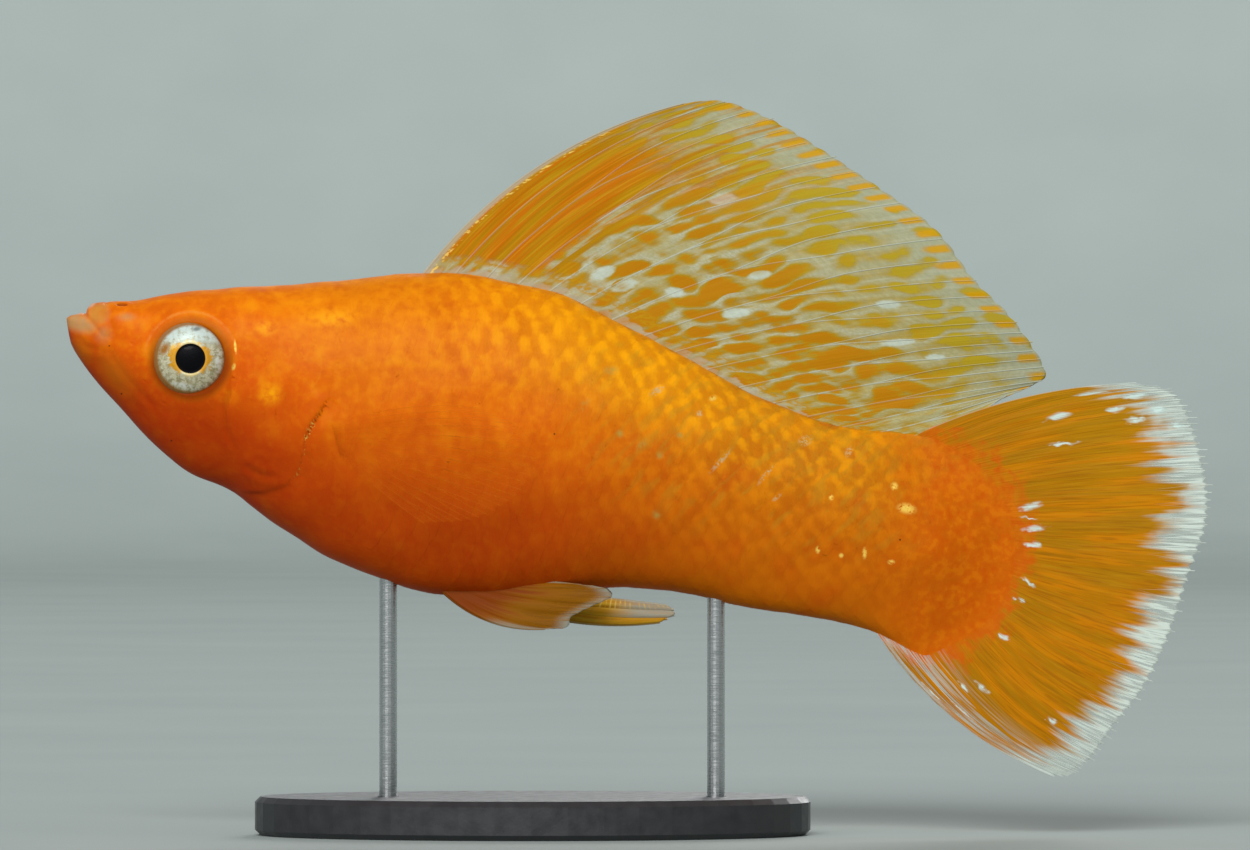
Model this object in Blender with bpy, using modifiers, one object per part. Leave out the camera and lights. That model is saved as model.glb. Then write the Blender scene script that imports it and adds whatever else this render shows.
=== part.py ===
"""Sailfin molly: a life-size still model of an adult male on a plain display stand.

Units are metres and +Z is up. The fish swims towards -X with its head up and its sail raised,
and its left side faces -Y. The origin is the centre of the stand's underside.

The outlines below lie on the fish's middle plane and are in millimetres, as (along, height):
the distance behind the tip of the lower jaw, and the height above the table.
"""

import math

import bmesh
import bpy
from mathutils import Vector

MM = 0.001

# ---------------------------------------------------------------- the body, in mm
STAND_ALONG = 42.0  # the stand's centre lies this far behind the tip of the jaw
BODY_LENGTH = 86.0  # from the jaw to the end of the scales on the tail fin
TAIL_ROUND_START = 77.3  # behind this the body ends in a rounded lobe over the tail fin
CUT_GAP = 0.3  # the thin cut between two neighbouring pieces
WIDE = 20.0  # further out than any flank

BACK_LINE = [
    (0.0, 46.7),
    (1.6, 47.1),
    (2.5, 47.9),
    (5.8, 48.1),
    (12.1, 49.1),
    (22.9, 49.9),
    (33.7, 50.7),
    (42.7, 49.3),
    (53.5, 44.3),
    (64.3, 38.7),
    (71.0, 36.6),
    (77.3, 36.0),
]
BELLY_LINE = [
    (0.0, 46.0),
    (0.3, 44.6),
    (1.1, 43.0),
    (4.3, 39.0),
    (10.3, 33.1),
    (15.0, 30.7),
    (16.4, 29.6),
    (19.0, 27.7),
    (24.6, 24.4),
    (29.2, 22.6),
    (34.0, 21.5),
    (39.0, 21.3),
    (50.4, 22.2),
    (62.5, 20.2),
    (71.5, 18.7),
    (77.3, 15.9),
]
HALF_WIDTH = [
    (0.0, 0.7),
    (1.3, 2.1),
    (3.1, 2.9),
    (6.7, 3.9),
    (12.1, 5.1),
    (17.6, 6.0),
    (24.7, 6.8),
    (33.0, 7.0),
    (42.7, 6.7),
    (53.5, 5.6),
    (64.3, 4.2),
    (77.3, 2.4),
    (86.0, 0.5),
]
# The height of the widest place, as a share of the way from the belly to the back.
WIDEST_LEVEL = [(0.0, 0.75), (6.0, 0.64), (15.0, 0.54), (35.0, 0.5), (86.0, 0.5)]
# Superellipse powers of a rib above and below its widest place: 2 is an ellipse.
BACK_FULLNESS = [(0.0, 2.5), (10.0, 2.9), (25.0, 2.3), (45.0, 2.0), (86.0, 2.0)]
BELLY_FULLNESS = [(0.0, 2.1), (12.0, 1.8), (25.0, 2.0), (40.0, 2.1), (86.0, 1.9)]

RING_COUNT = 44
RING_POINTS = 32
RING_CROWDING = 0.11  # brings the rings closer together at the snout and at the tail

JAW_LINE = [(1.3, 53.1), (1.8, 47.1), (3.4, 44.7), (4.1, 41.7), (4.4, 33.1)]
GILL_LINE = [
    (27.0, 55.1),
    (25.2, 46.1),
    (24.0, 39.3),
    (22.5, 37.0),
    (21.4, 34.1),
    (20.8, 32.3),
    (19.2, 31.0),
    (17.0, 30.0),
    (14.6, 25.1),
]
TAIL_LINE = [(67.4, 45.1), (65.8, 33.1), (63.0, 13.1)]
GILL_COVER_FRONT = [
    (27.0, 40.7),
    (21.5, 42.1),
    (18.2, 42.7),
    (15.7, 41.7),
    (14.8, 38.7),
    (14.7, 35.6),
    (15.8, 32.5),
    (18.0, 29.1),
    (21.0, 26.1),
]
GILL_COVER_BEHIND = 34.0  # the cover's cutter reaches back to here, past the gill line
GILL_COVER_INNER = 3.4  # from the middle plane to the flat back of each gill cover

EYE_CENTRE = (11.45, 42.85)
EYE_RADIUS = 3.5
EYE_DEPTH_RADIUS = 2.3
EYE_OUT = 3.75  # from the middle plane to the eye's centre

# ---------------------------------------------------------------- the fins, in mm
# A thickness is (at the rays' roots, at the margin). Bulges are how far the middle of the
# first and of the last ray lie off a straight line, up and forwards being positive.
FIN_GAP = 0.35  # between a fin's root and the body
FIN_ROWS = 7  # faces along each ray
WEB_REACH = 0.975  # the web between two rays ends a little short of their tips
WEB_THICKNESS = 0.62  # as a share of the rays' thickness

SAIL_RAYS = 16
SAIL_ROOT = (32.6, 74.8)  # along the back
SAIL_MARGIN = [
    (56.2, 66.0),
    (59.2, 66.2),
    (62.3, 65.2),
    (66.1, 63.2),
    (74.1, 57.9),
    (78.7, 54.4),
    (82.0, 50.0),
    (85.5, 46.4),
    (88.3, 42.5),
    (87.2, 40.9),
    (84.5, 40.2),
]
SAIL_BULGES = (2.4, -0.35)
SAIL_THICKNESS = (1.1, 0.55)
SAIL_WAVE = 0.9  # how far the margin swings to each side

TAIL_RAYS = 18
TAIL_ROOT_FRONT = 73.4  # the lowest ray leaves the belly here
TAIL_MARGIN = [
    (97.0, 40.7),
    (100.6, 39.7),
    (102.2, 36.7),
    (103.3, 31.6),
    (103.2, 27.9),
    (101.5, 23.2),
    (99.8, 18.0),
    (97.6, 13.3),
    (94.7, 9.5),
    (92.4, 6.3),
    (89.6, 5.0),
]
TAIL_BULGES = (1.5, -1.6)
TAIL_THICKNESS = (1.2, 0.55)
TAIL_WAVE = 0.7

PECTORAL_RAYS = 8
PECTORAL_ROOT = [(24.5, 37.0), (25.3, 34.1)]
PECTORAL_MARGIN = [
    (37.6, 38.4),
    (41.5, 36.5),
    (42.8, 33.7),
    (41.0, 30.5),
    (37.0, 28.4),
    (32.5, 28.1),
]
PECTORAL_BULGES = (0.8, -0.3)
PECTORAL_FLARE = 12.0  # degrees that the fin stands off the flank
PECTORAL_THICKNESS = (0.9, 0.5)

PELVIC_RAYS = 6
PELVIC_ROOT = [(34.2, 21.1), (37.6, 20.9)]
PELVIC_OUT = 2.2  # from the middle plane to each root
PELVIC_MARGIN = [
    (43.3, 18.6),
    (45.6, 19.2),
    (48.2, 20.4),
    (49.4, 21.6),
    (48.6, 22.3),
    (46.0, 22.6),
]
PELVIC_BULGES = (-0.8, 0.4)
PELVIC_FLARE = 8.0
PELVIC_THICKNESS = (0.8, 0.5)

GONOPODIUM_RAYS = 4
GONOPODIUM_ROOT = (39.4, 43.4)  # along the belly
GONOPODIUM_MARGIN = [(53.6, 19.2), (55.1, 20.0), (54.2, 20.6)]
GONOPODIUM_BULGES = (-0.9, 0.2)
GONOPODIUM_THICKNESS = (1.4, 0.8)

# ---------------------------------------------------------------- the stand, in mm
BASE_LENGTH, BASE_WIDTH, BASE_HEIGHT = 50.0, 28.0, 3.5
BASE_EDGE = 0.5
ROD_RADIUS = 0.8
ROD_CLEARANCE = 0.2  # round each end of a rod, in the fish and in the base
ROD_IN_BASE = 2.0
ROD_IN_FISH = 4.0
ROD_STATIONS = {"stand_rod_front": 29.0, "stand_rod_rear": 58.5}

SIDES = {"left": -1, "right": 1}  # the side of the middle plane, along Y

COLOURS = {  # linear colour, roughness, metallic
    "skin": ((0.80, 0.18, 0.01), 0.35, 0.0),
    "lips": ((0.70, 0.26, 0.10), 0.40, 0.0),
    "eye": ((0.62, 0.60, 0.45), 0.15, 0.3),
    "fin": ((0.72, 0.33, 0.03), 0.40, 0.0),
    "steel": ((0.55, 0.55, 0.56), 0.30, 1.0),
    "base": ((0.03, 0.03, 0.035), 0.45, 0.0),
}


# ---------------------------------------------------------------- curves through points
def between(low, high, share):
    return low + (high - low) * share


def height_curve(points):
    """A smooth function of one number that passes through the points and never overshoots."""
    gaps = [b[0] - a[0] for a, b in zip(points, points[1:])]
    rises = [(b[1] - a[1]) / gap for a, b, gap in zip(points, points[1:], gaps)]
    slopes = [rises[0]]
    for before, after in zip(rises, rises[1:]):
        turns_back = before * after <= 0
        slopes.append(0.0 if turns_back else 2 * before * after / (before + after))
    slopes.append(rises[-1])

    def value(x):
        x = min(max(x, points[0][0]), points[-1][0])
        i = 0
        while i < len(gaps) - 1 and x > points[i + 1][0]:
            i += 1
        t = (x - points[i][0]) / gaps[i]
        return (
            points[i][1] * (1 + 2 * t) * (1 - t) ** 2
            + slopes[i] * gaps[i] * t * (1 - t) ** 2
            + points[i + 1][1] * t * t * (3 - 2 * t)
            + slopes[i + 1] * gaps[i] * t * t * (t - 1)
        )

    return value


def curve_point(before, start, end, after, t):
    """The place t along a smooth curve from start to end, given the points beyond them."""
    return tuple(
        0.5
        * (
            2 * q
            + (r - p) * t
            + (2 * p - 5 * q + 4 * r - s) * t * t
            + (3 * q - p - 3 * r + s) * t ** 3
        )
        for p, q, r, s in zip(before, start, end, after)
    )


def smooth_line(points, count):
    """count points, evenly spread by length, on a smooth line through the given ones."""
    steps = 12
    ends = [points[0]] + list(points) + [points[-1]]
    dense = []
    for four in zip(ends, ends[1:], ends[2:], ends[3:]):
        for step in range(steps):
            dense.append(curve_point(*four, step / steps))
    dense.append(tuple(points[-1]))
    walked = [0.0]
    for a, b in zip(dense, dense[1:]):
        walked.append(walked[-1] + math.dist(a, b))
    line = []
    at = 0
    for i in range(count):
        target = walked[-1] * i / (count - 1)
        while at < len(dense) - 2 and walked[at + 1] < target:
            at += 1
        t = (target - walked[at]) / (walked[at + 1] - walked[at])
        line.append(tuple(between(p, q, t) for p, q in zip(dense[at], dense[at + 1])))
    return line


def world(along, out, height):
    """A point of the fish, in metres from the centre of the stand's underside."""
    return Vector(((along - STAND_ALONG) * MM, out * MM, height * MM))


# ---------------------------------------------------------------- the body's form
back_height = height_curve(BACK_LINE)
belly_height = height_curve(BELLY_LINE)
half_width = height_curve(HALF_WIDTH)
widest_level = height_curve(WIDEST_LEVEL)
back_fullness = height_curve(BACK_FULLNESS)
belly_fullness = height_curve(BELLY_FULLNESS)
TAIL_MIDDLE = between(belly_height(TAIL_ROUND_START), back_height(TAIL_ROUND_START), 0.5)


def rib_heights(along):
    """The heights of the back and the belly, drawn in to a rounded lobe at the tail."""
    top, bottom = back_height(along), belly_height(along)
    if along > TAIL_ROUND_START:
        share = (along - TAIL_ROUND_START) / (BODY_LENGTH - TAIL_ROUND_START)
        squeeze = math.sqrt(max(1 - share * share, 0.0004))
        top = between(TAIL_MIDDLE, top, squeeze)
        bottom = between(TAIL_MIDDLE, bottom, squeeze)
    return top, bottom


def rib_point(along, angle):
    """(out, height) on the rib: angle 0 is the widest place and a right angle the back."""
    top, bottom = rib_heights(along)
    middle = between(bottom, top, widest_level(along))
    up = math.sin(angle) >= 0
    power = 2 / (back_fullness(along) if up else belly_fullness(along))
    reach = (top if up else bottom) - middle
    out = half_width(along) * math.copysign(abs(math.cos(angle)) ** power, math.cos(angle))
    return out, middle + reach * abs(math.sin(angle)) ** power


def flank(along, height):
    """How far the flank lies from the middle plane at this place."""
    top, bottom = rib_heights(along)
    middle = between(bottom, top, widest_level(along))
    up = height >= middle
    power = back_fullness(along) if up else belly_fullness(along)
    share = abs(height - middle) / abs((top if up else bottom) - middle)
    return half_width(along) * max(1 - share ** power, 0.0) ** (1 / power)


# ---------------------------------------------------------------- making objects
def material(name):
    made = bpy.data.materials.get(name)
    if made is None:
        colour, roughness, metallic = COLOURS[name]
        made = bpy.data.materials.new(name)
        made.use_nodes = True
        shader = made.node_tree.nodes["Principled BSDF"]
        shader.inputs["Base Color"].default_value = (*colour, 1.0)
        shader.inputs["Roughness"].default_value = roughness
        shader.inputs["Metallic"].default_value = metallic
        made.diffuse_color = (*colour, 1.0)
    return made


def add_object(name, mesh, finish, collection):
    made = bpy.data.objects.new(name, mesh)
    if finish:
        mesh.materials.append(material(finish))
    collection.objects.link(made)
    return made


def new_primitive(name, finish, collection):
    """Names the primitive that was just added and moves it to the collection."""
    made = bpy.context.object
    made.name = made.data.name = name
    for holder in list(made.users_collection):
        holder.objects.unlink(made)
    collection.objects.link(made)
    if finish:
        made.data.materials.append(material(finish))
    return made


def as_cutter(obj):
    obj.hide_render = True
    obj.display_type = "WIRE"
    return obj


def cleaned(mesh):
    """Welds the mesh's seams and turns its faces outwards."""
    shape = bmesh.new()
    shape.from_mesh(mesh)
    bmesh.ops.remove_doubles(shape, verts=shape.verts, dist=0.01 * MM)
    bmesh.ops.recalc_face_normals(shape, faces=shape.faces)
    shape.to_mesh(mesh)
    shape.free()
    return mesh


def mesh_from(points, faces, name):
    mesh = bpy.data.meshes.new(name)
    mesh.from_pydata(points, [], faces)
    mesh.update()
    return mesh


def body_cutter(cutters):
    """The whole body as one loft through its ribs, which the pieces are cut out of."""
    points, faces = [], []
    for ring in range(RING_COUNT):
        share = ring / (RING_COUNT - 1)
        share -= RING_CROWDING * math.sin(2 * math.pi * share)
        along = BODY_LENGTH * share
        for step in range(RING_POINTS):
            out, height = rib_point(along, 2 * math.pi * step / RING_POINTS)
            points.append(world(along, out, height))
    for ring in range(RING_COUNT - 1):
        for step in range(RING_POINTS):
            here = ring * RING_POINTS + step
            beside = ring * RING_POINTS + (step + 1) % RING_POINTS
            faces.append((here, beside, beside + RING_POINTS, here + RING_POINTS))
    last = (RING_COUNT - 1) * RING_POINTS
    faces.append(tuple(range(RING_POINTS)))
    faces.append(tuple(range(last, last + RING_POINTS)))
    mesh = cleaned(mesh_from(points, faces, "whole_body"))
    mesh.shade_smooth()
    return as_cutter(add_object("whole_body", mesh, None, cutters))


def prism(name, outline, low, high, cutters):
    """A flat outline on the middle plane, drawn out sideways from low to high."""
    curve = bpy.data.curves.new(name, "CURVE")
    curve.dimensions = "2D"
    curve.fill_mode = "BOTH"
    curve.extrude = (high - low) / 2 * MM
    spline = curve.splines.new("POLY")
    spline.points.add(len(outline) - 1)
    for point, (along, height) in zip(spline.points, outline):
        point.co = ((along - STAND_ALONG) * MM, height * MM, 0.0, 1.0)
    spline.use_cyclic_u = True
    shape = bpy.data.objects.new(name + "_curve", curve)
    shape.rotation_euler = (math.radians(90), 0, 0)
    shape.location = (0, (low + high) / 2 * MM, 0)
    cutters.objects.link(shape)
    bpy.context.view_layer.update()
    evaluated = shape.evaluated_get(bpy.context.evaluated_depsgraph_get())
    mesh = cleaned(bpy.data.meshes.new_from_object(evaluated))
    made = add_object(name, mesh, None, cutters)
    made.matrix_world = shape.matrix_world
    bpy.data.objects.remove(shape)
    return as_cutter(made)


def moved_back(line, distance):
    return [(along + distance, height) for along, height in line]


def grown(outline, distance):
    """The outline with each point moved away from its middle."""
    middle = [sum(values) / len(outline) for values in zip(*outline)]
    result = []
    for point in outline:
        share = 1 + distance / math.dist(point, middle)
        result.append(tuple(between(m, p, share) for m, p in zip(middle, point)))
    return result


def in_front_of(line):
    """The region between the line and a place well ahead of the fish."""
    return line + [(-WIDE, line[-1][1]), (-WIDE, line[0][1])]


def behind(line):
    return line + [(BODY_LENGTH + WIDE, line[-1][1]), (BODY_LENGTH + WIDE, line[0][1])]


def boolean(obj, operation, cutter):
    modifier = obj.modifiers.new(cutter.name, "BOOLEAN")
    modifier.operation = operation
    modifier.solver = "EXACT"
    modifier.object = cutter


def cut_piece(name, finish, whole, parts, take_first, keep, take_last):
    """A piece of the body: the region to keep, less what is taken off before and after."""
    piece = add_object(name, whole.data.copy(), finish, parts)
    for cutter in take_first:
        boolean(piece, "DIFFERENCE", cutter)
    for cutter in keep:
        boolean(piece, "INTERSECT", cutter)
    for cutter in take_last:
        boolean(piece, "DIFFERENCE", cutter)


# ---------------------------------------------------------------- head
def eye(name, side, grow, finish, collection):
    """One flattened eyeball, or the hollow for it when grow is above 0."""
    bpy.ops.mesh.primitive_uv_sphere_add(segments=18, ring_count=11, radius=1.0)
    ball = new_primitive(name, finish, collection)
    radius = EYE_RADIUS + grow
    ball.scale = (radius * MM, radius * MM, (EYE_DEPTH_RADIUS + grow) * MM)
    ball.rotation_euler = (math.radians(90), 0, 0)
    ball.location = world(EYE_CENTRE[0], side * EYE_OUT, EYE_CENTRE[1])
    bpy.ops.object.transform_apply(location=False, rotation=True, scale=True)
    ball.data.shade_smooth()
    return ball


def head_pieces(whole, parts, cutters):
    """The head with its sockets and gill hollows, the lower jaw, the gill covers, the eyes."""
    jaw_line = smooth_line(JAW_LINE, 12)
    jaw_region = prism("jaw_region", in_front_of(jaw_line), -WIDE, WIDE, cutters)
    past_jaw = in_front_of(moved_back(jaw_line, CUT_GAP))
    past_jaw = prism("past_jaw", past_jaw, -WIDE, WIDE, cutters)
    gill_line = smooth_line(GILL_LINE, 24)
    head_region = prism("head_region", in_front_of(gill_line), -WIDE, WIDE, cutters)
    front = smooth_line(GILL_COVER_FRONT, 20)
    cover_outline = front + [(GILL_COVER_BEHIND, front[-1][1]), (GILL_COVER_BEHIND, front[0][1])]

    sockets, hollows = [], [past_jaw]
    for word, side in SIDES.items():
        eye("eye_" + word, side, 0.0, "eye", parts)
        sockets.append(as_cutter(eye("socket_" + word, side, CUT_GAP, None, cutters)))
        low, high = sorted((side * GILL_COVER_INNER, side * WIDE))
        cover = prism("cover_region_" + word, cover_outline, low, high, cutters)
        cut_piece("gill_cover_" + word, "skin", whole, parts, [], [head_region, cover], [])
        low, high = sorted((side * (GILL_COVER_INNER - CUT_GAP), side * WIDE))
        outline = grown(cover_outline, CUT_GAP)
        hollows.append(prism("gill_hollow_" + word, outline, low, high, cutters))
    cut_piece("head", "skin", whole, parts, sockets, [head_region], hollows)
    cut_piece("lower_jaw", "lips", whole, parts, [], [jaw_region], [])


# ---------------------------------------------------------------- trunk and tail stem
def trunk_and_tail(whole, rod_holes, parts, cutters):
    past_head = in_front_of(moved_back(smooth_line(GILL_LINE, 24), CUT_GAP))
    past_head = prism("past_head", past_head, -WIDE, WIDE, cutters)
    tail_line = smooth_line(TAIL_LINE, 8)
    past_trunk = prism("past_trunk", behind(tail_line), -WIDE, WIDE, cutters)
    tail_region = behind(moved_back(tail_line, CUT_GAP))
    tail_region = prism("tail_region", tail_region, -WIDE, WIDE, cutters)
    cut_piece("trunk", "skin", whole, parts, rod_holes, [], [past_head, past_trunk])
    cut_piece("tail_stem", "skin", whole, parts, [], [tail_region], [])


# ---------------------------------------------------------------- fins
def fan_fin(name, rays, thickness, parts):
    """A fin of curved rays with a thinner web between each two: a sheet with Solidify.

    Each ray is (root, bend, tip), in (along, out, height).
    """
    columns = []
    for i, ray in enumerate(rays):
        columns.append((ray, 1.0, 1.0))
        if i + 1 < len(rays):
            web = [
                tuple(between(p, q, 0.5) for p, q in zip(a, b)) for a, b in zip(ray, rays[i + 1])
            ]
            columns.append((web, WEB_REACH, WEB_THICKNESS))
    points, faces, weights = [], [], []
    for (root, bend, tip), reach, stoutness in columns:
        for row in range(FIN_ROWS + 1):
            t = reach * row / FIN_ROWS
            place = (
                a * (1 - t) ** 2 + 2 * b * t * (1 - t) + c * t * t
                for a, b, c in zip(root, bend, tip)
            )
            points.append(world(*place))
            local = between(*thickness, t) * stoutness
            weights.append(max(local, thickness[1]) / thickness[0])
    stride = FIN_ROWS + 1
    for column in range(len(columns) - 1):
        for row in range(FIN_ROWS):
            here = column * stride + row
            faces.append((here, here + 1, here + stride + 1, here + stride))
    fin = add_object(name, mesh_from(points, faces, name), "fin", parts)
    group = fin.vertex_groups.new(name="thickness")
    for index, weight in enumerate(weights):
        group.add([index], weight, "REPLACE")
    solidify = fin.modifiers.new("Solidify", "SOLIDIFY")
    solidify.thickness = thickness[0] * MM
    solidify.offset = 0.0
    solidify.vertex_group = group.name
    fin.data.shade_smooth()


def bend_of(root, tip, bulge):
    """The bend that puts the ray's middle this far off the straight line, to its left."""
    run, rise = tip[0] - root[0], tip[1] - root[1]
    length = math.hypot(run, rise)
    return (
        between(root[0], tip[0], 0.5) - rise / length * bulge * 2,
        between(root[1], tip[1], 0.5) + run / length * bulge * 2,
    )


def middle_fin(name, roots, margin, bulges, wave, thickness, parts):
    """A fin on the middle plane, whose margin swings softly to each side."""
    rays = []
    tips = smooth_line(margin, len(roots))
    for i, (root, tip) in enumerate(zip(roots, tips)):
        share = i / (len(roots) - 1)
        bend = bend_of(root, tip, between(*bulges, share))
        swing = wave * math.sin(2 * math.pi * (1.3 * share + 0.1))
        rays.append(
            (
                (root[0], 0.0, root[1]),
                (bend[0], swing * 0.2, bend[1]),
                (tip[0], swing, tip[1]),
            )
        )
    fan_fin(name, rays, thickness, parts)


def sail(parts):
    """The tall dorsal fin of the male, along the back from the shoulder to the tail stem."""
    roots = []
    for i in range(SAIL_RAYS):
        along = between(*SAIL_ROOT, i / (SAIL_RAYS - 1))
        roots.append((along, back_height(along) + FIN_GAP))
    middle_fin("dorsal_fin", roots, SAIL_MARGIN, SAIL_BULGES, SAIL_WAVE, SAIL_THICKNESS, parts)


def tail_fin(parts):
    """The fan of the tail, rooted round the end of the body and a little along the belly."""
    reach = BODY_LENGTH - TAIL_ROUND_START + FIN_GAP
    rise = back_height(TAIL_ROUND_START) - TAIL_MIDDLE + FIN_GAP
    path = []
    for step in range(13):
        angle = math.pi * (0.5 - step / 12)
        path.append(
            (TAIL_ROUND_START + reach * math.cos(angle), TAIL_MIDDLE + rise * math.sin(angle))
        )
    path.append((TAIL_ROOT_FRONT, belly_height(TAIL_ROOT_FRONT) - FIN_GAP))
    roots = smooth_line(path, TAIL_RAYS)
    middle_fin("tail_fin", roots, TAIL_MARGIN, TAIL_BULGES, TAIL_WAVE, TAIL_THICKNESS, parts)


def gonopodium(parts):
    """The male's anal fin, narrowed to a slender rod that lies along the belly."""
    roots = []
    for i in range(GONOPODIUM_RAYS):
        along = between(*GONOPODIUM_ROOT, i / (GONOPODIUM_RAYS - 1))
        roots.append((along, belly_height(along) - FIN_GAP))
    middle_fin(
        "gonopodium",
        roots,
        GONOPODIUM_MARGIN,
        GONOPODIUM_BULGES,
        0.0,
        GONOPODIUM_THICKNESS,
        parts,
    )


def paired_fin(name, side, root_line, root_out, margin, count, bulges, flare, thickness, parts):
    """One fin of a pair: its rays leave the body at the flare angle."""
    rays = []
    slope = math.tan(math.radians(flare))
    for i, tip in enumerate(smooth_line(margin, count)):
        share = i / (count - 1)
        root = tuple(between(a, b, share) for a, b in zip(*root_line))
        bend = bend_of(root, tip, between(*bulges, share))
        out = root_out(*root)
        reach = math.dist(root, tip) * slope
        rays.append(
            (
                (root[0], side * out, root[1]),
                (bend[0], side * (out + reach * 0.6), bend[1]),
                (tip[0], side * (out + reach), tip[1]),
            )
        )
    fan_fin(name, rays, thickness, parts)


def beside_flank(along, height):
    return flank(along, height) + FIN_GAP + PECTORAL_THICKNESS[0] / 2


def beside_belly(along, height):
    return PELVIC_OUT


def paired_fins(parts):
    for word, side in SIDES.items():
        paired_fin(
            "pectoral_fin_" + word,
            side,
            PECTORAL_ROOT,
            beside_flank,
            PECTORAL_MARGIN,
            PECTORAL_RAYS,
            PECTORAL_BULGES,
            PECTORAL_FLARE,
            PECTORAL_THICKNESS,
            parts,
        )
        paired_fin(
            "pelvic_fin_" + word,
            side,
            PELVIC_ROOT,
            beside_belly,
            PELVIC_MARGIN,
            PELVIC_RAYS,
            PELVIC_BULGES,
            PELVIC_FLARE,
            PELVIC_THICKNESS,
            parts,
        )


# ---------------------------------------------------------------- stand
def cylinder(name, radius, low, high, along, finish, collection):
    bpy.ops.mesh.primitive_cylinder_add(
        vertices=20,
        radius=radius * MM,
        depth=(high - low) * MM,
        location=world(along, 0.0, between(low, high, 0.5)),
    )
    made = new_primitive(name, finish, collection)
    made.data.shade_smooth()
    made.data.set_sharp_from_angle(angle=math.radians(40))
    return made


def stand(parts, cutters):
    """The flat oval base and its two rods. Returns the holes that the rods stand in."""
    bpy.ops.mesh.primitive_cylinder_add(
        vertices=48, radius=1.0, depth=1.0, location=(0, 0, BASE_HEIGHT / 2 * MM)
    )
    base = new_primitive("stand_base", "base", parts)
    base.scale = (BASE_LENGTH / 2 * MM, BASE_WIDTH / 2 * MM, BASE_HEIGHT * MM)
    bpy.ops.object.transform_apply(location=False, rotation=False, scale=True)
    bevel = base.modifiers.new("Bevel", "BEVEL")
    bevel.width = BASE_EDGE * MM
    bevel.segments = 1
    bevel.limit_method = "ANGLE"
    base.data.shade_smooth()
    base.data.set_sharp_from_angle(angle=math.radians(40))
    holes = []
    for name, along in ROD_STATIONS.items():
        foot = BASE_HEIGHT - ROD_IN_BASE
        top = belly_height(along) + ROD_IN_FISH
        cylinder(name, ROD_RADIUS, foot, top, along, "steel", parts)
        radius = ROD_RADIUS + ROD_CLEARANCE
        hole = cylinder(
            name + "_hole", radius, foot - ROD_CLEARANCE, top + ROD_CLEARANCE, along, None, cutters
        )
        boolean(base, "DIFFERENCE", as_cutter(hole))
        holes.append(hole)
    return holes


def main():
    for obj in list(bpy.data.objects):
        bpy.data.objects.remove(obj)
    parts = bpy.data.collections.new("sailfin_molly")
    cutters = bpy.data.collections.new("cutters")
    for collection in (parts, cutters):
        bpy.context.scene.collection.children.link(collection)
    whole = body_cutter(cutters)
    rod_holes = stand(parts, cutters)
    head_pieces(whole, parts, cutters)
    trunk_and_tail(whole, rod_holes, parts, cutters)
    sail(parts)
    tail_fin(parts)
    gonopodium(parts)
    paired_fins(parts)


main()
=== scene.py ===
# %% [markdown]
# # A sailfin molly on its stand
#
# This lesson dresses the solid model of a fish. The solids give the size and the outline. Here the
# fish gets a skin, a coat of scales, eyes, and fins with rays and thin webs between them.
# Every length in the tables below is in millimetres, and every finished mesh is in metres.

# %% Load the solid model
import math
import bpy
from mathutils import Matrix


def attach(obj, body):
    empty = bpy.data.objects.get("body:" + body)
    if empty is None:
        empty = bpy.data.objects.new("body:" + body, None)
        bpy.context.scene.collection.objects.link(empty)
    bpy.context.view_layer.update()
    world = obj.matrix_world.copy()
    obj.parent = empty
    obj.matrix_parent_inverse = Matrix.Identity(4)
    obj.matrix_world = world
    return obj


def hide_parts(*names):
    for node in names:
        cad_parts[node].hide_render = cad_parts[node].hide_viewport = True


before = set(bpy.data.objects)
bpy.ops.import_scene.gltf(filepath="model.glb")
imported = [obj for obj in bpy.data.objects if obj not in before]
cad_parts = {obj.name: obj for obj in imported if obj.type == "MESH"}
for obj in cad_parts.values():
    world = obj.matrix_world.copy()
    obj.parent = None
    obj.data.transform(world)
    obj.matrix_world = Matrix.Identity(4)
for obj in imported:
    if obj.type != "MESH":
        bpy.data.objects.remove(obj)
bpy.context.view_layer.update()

import bpy
import numpy as np
from mathutils import Vector

MM = 0.001
FLESH_NODES = ["head", "lower_jaw", "gill_cover_left", "gill_cover_right", "trunk", "tail_stem"]
print("solid pieces:", len(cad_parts))

# %% [markdown]
# ## How places on the fish are written
#
# A place is (along, out, height): along is counted from the tip of the jaw towards the tail, out
# from the middle plane, and height from the table. The curves below pass through a few measured
# points. One kind never overshoots, which suits an outline, and the other is a free smooth line.

# %% Curves through points
STAND_ALONG = 42.0


def between(low, high, share):
    return low + (high - low) * share


def smooth_step(low, high, value):
    """0 below low, 1 above high, and a soft rise in between. low may be the greater one."""
    share = np.clip((value - low) / (high - low), 0.0, 1.0)
    return share * share * (3 - 2 * share)


def height_curve(points):
    """A smooth function of one number that passes through the points and never overshoots."""
    at, level = np.array(points, float).T
    gaps = np.diff(at)
    rises = np.diff(level) / gaps
    before, after = rises[:-1], rises[1:]
    same_way = before * after > 0
    total = np.where(same_way, before + after, 1.0)
    inner = np.where(same_way, 2 * before * after / total, 0.0)
    slopes = np.concatenate([rises[:1], inner, rises[-1:]])

    def value(x):
        x = np.clip(x, at[0], at[-1])
        i = np.clip(np.searchsorted(at, x, side="right") - 1, 0, len(gaps) - 1)
        t = (x - at[i]) / gaps[i]
        return (
            level[i] * (1 + 2 * t) * (1 - t) ** 2
            + slopes[i] * gaps[i] * t * (1 - t) ** 2
            + level[i + 1] * t * t * (3 - 2 * t)
            + slopes[i + 1] * gaps[i] * t * t * (t - 1)
        )

    return value


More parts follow.
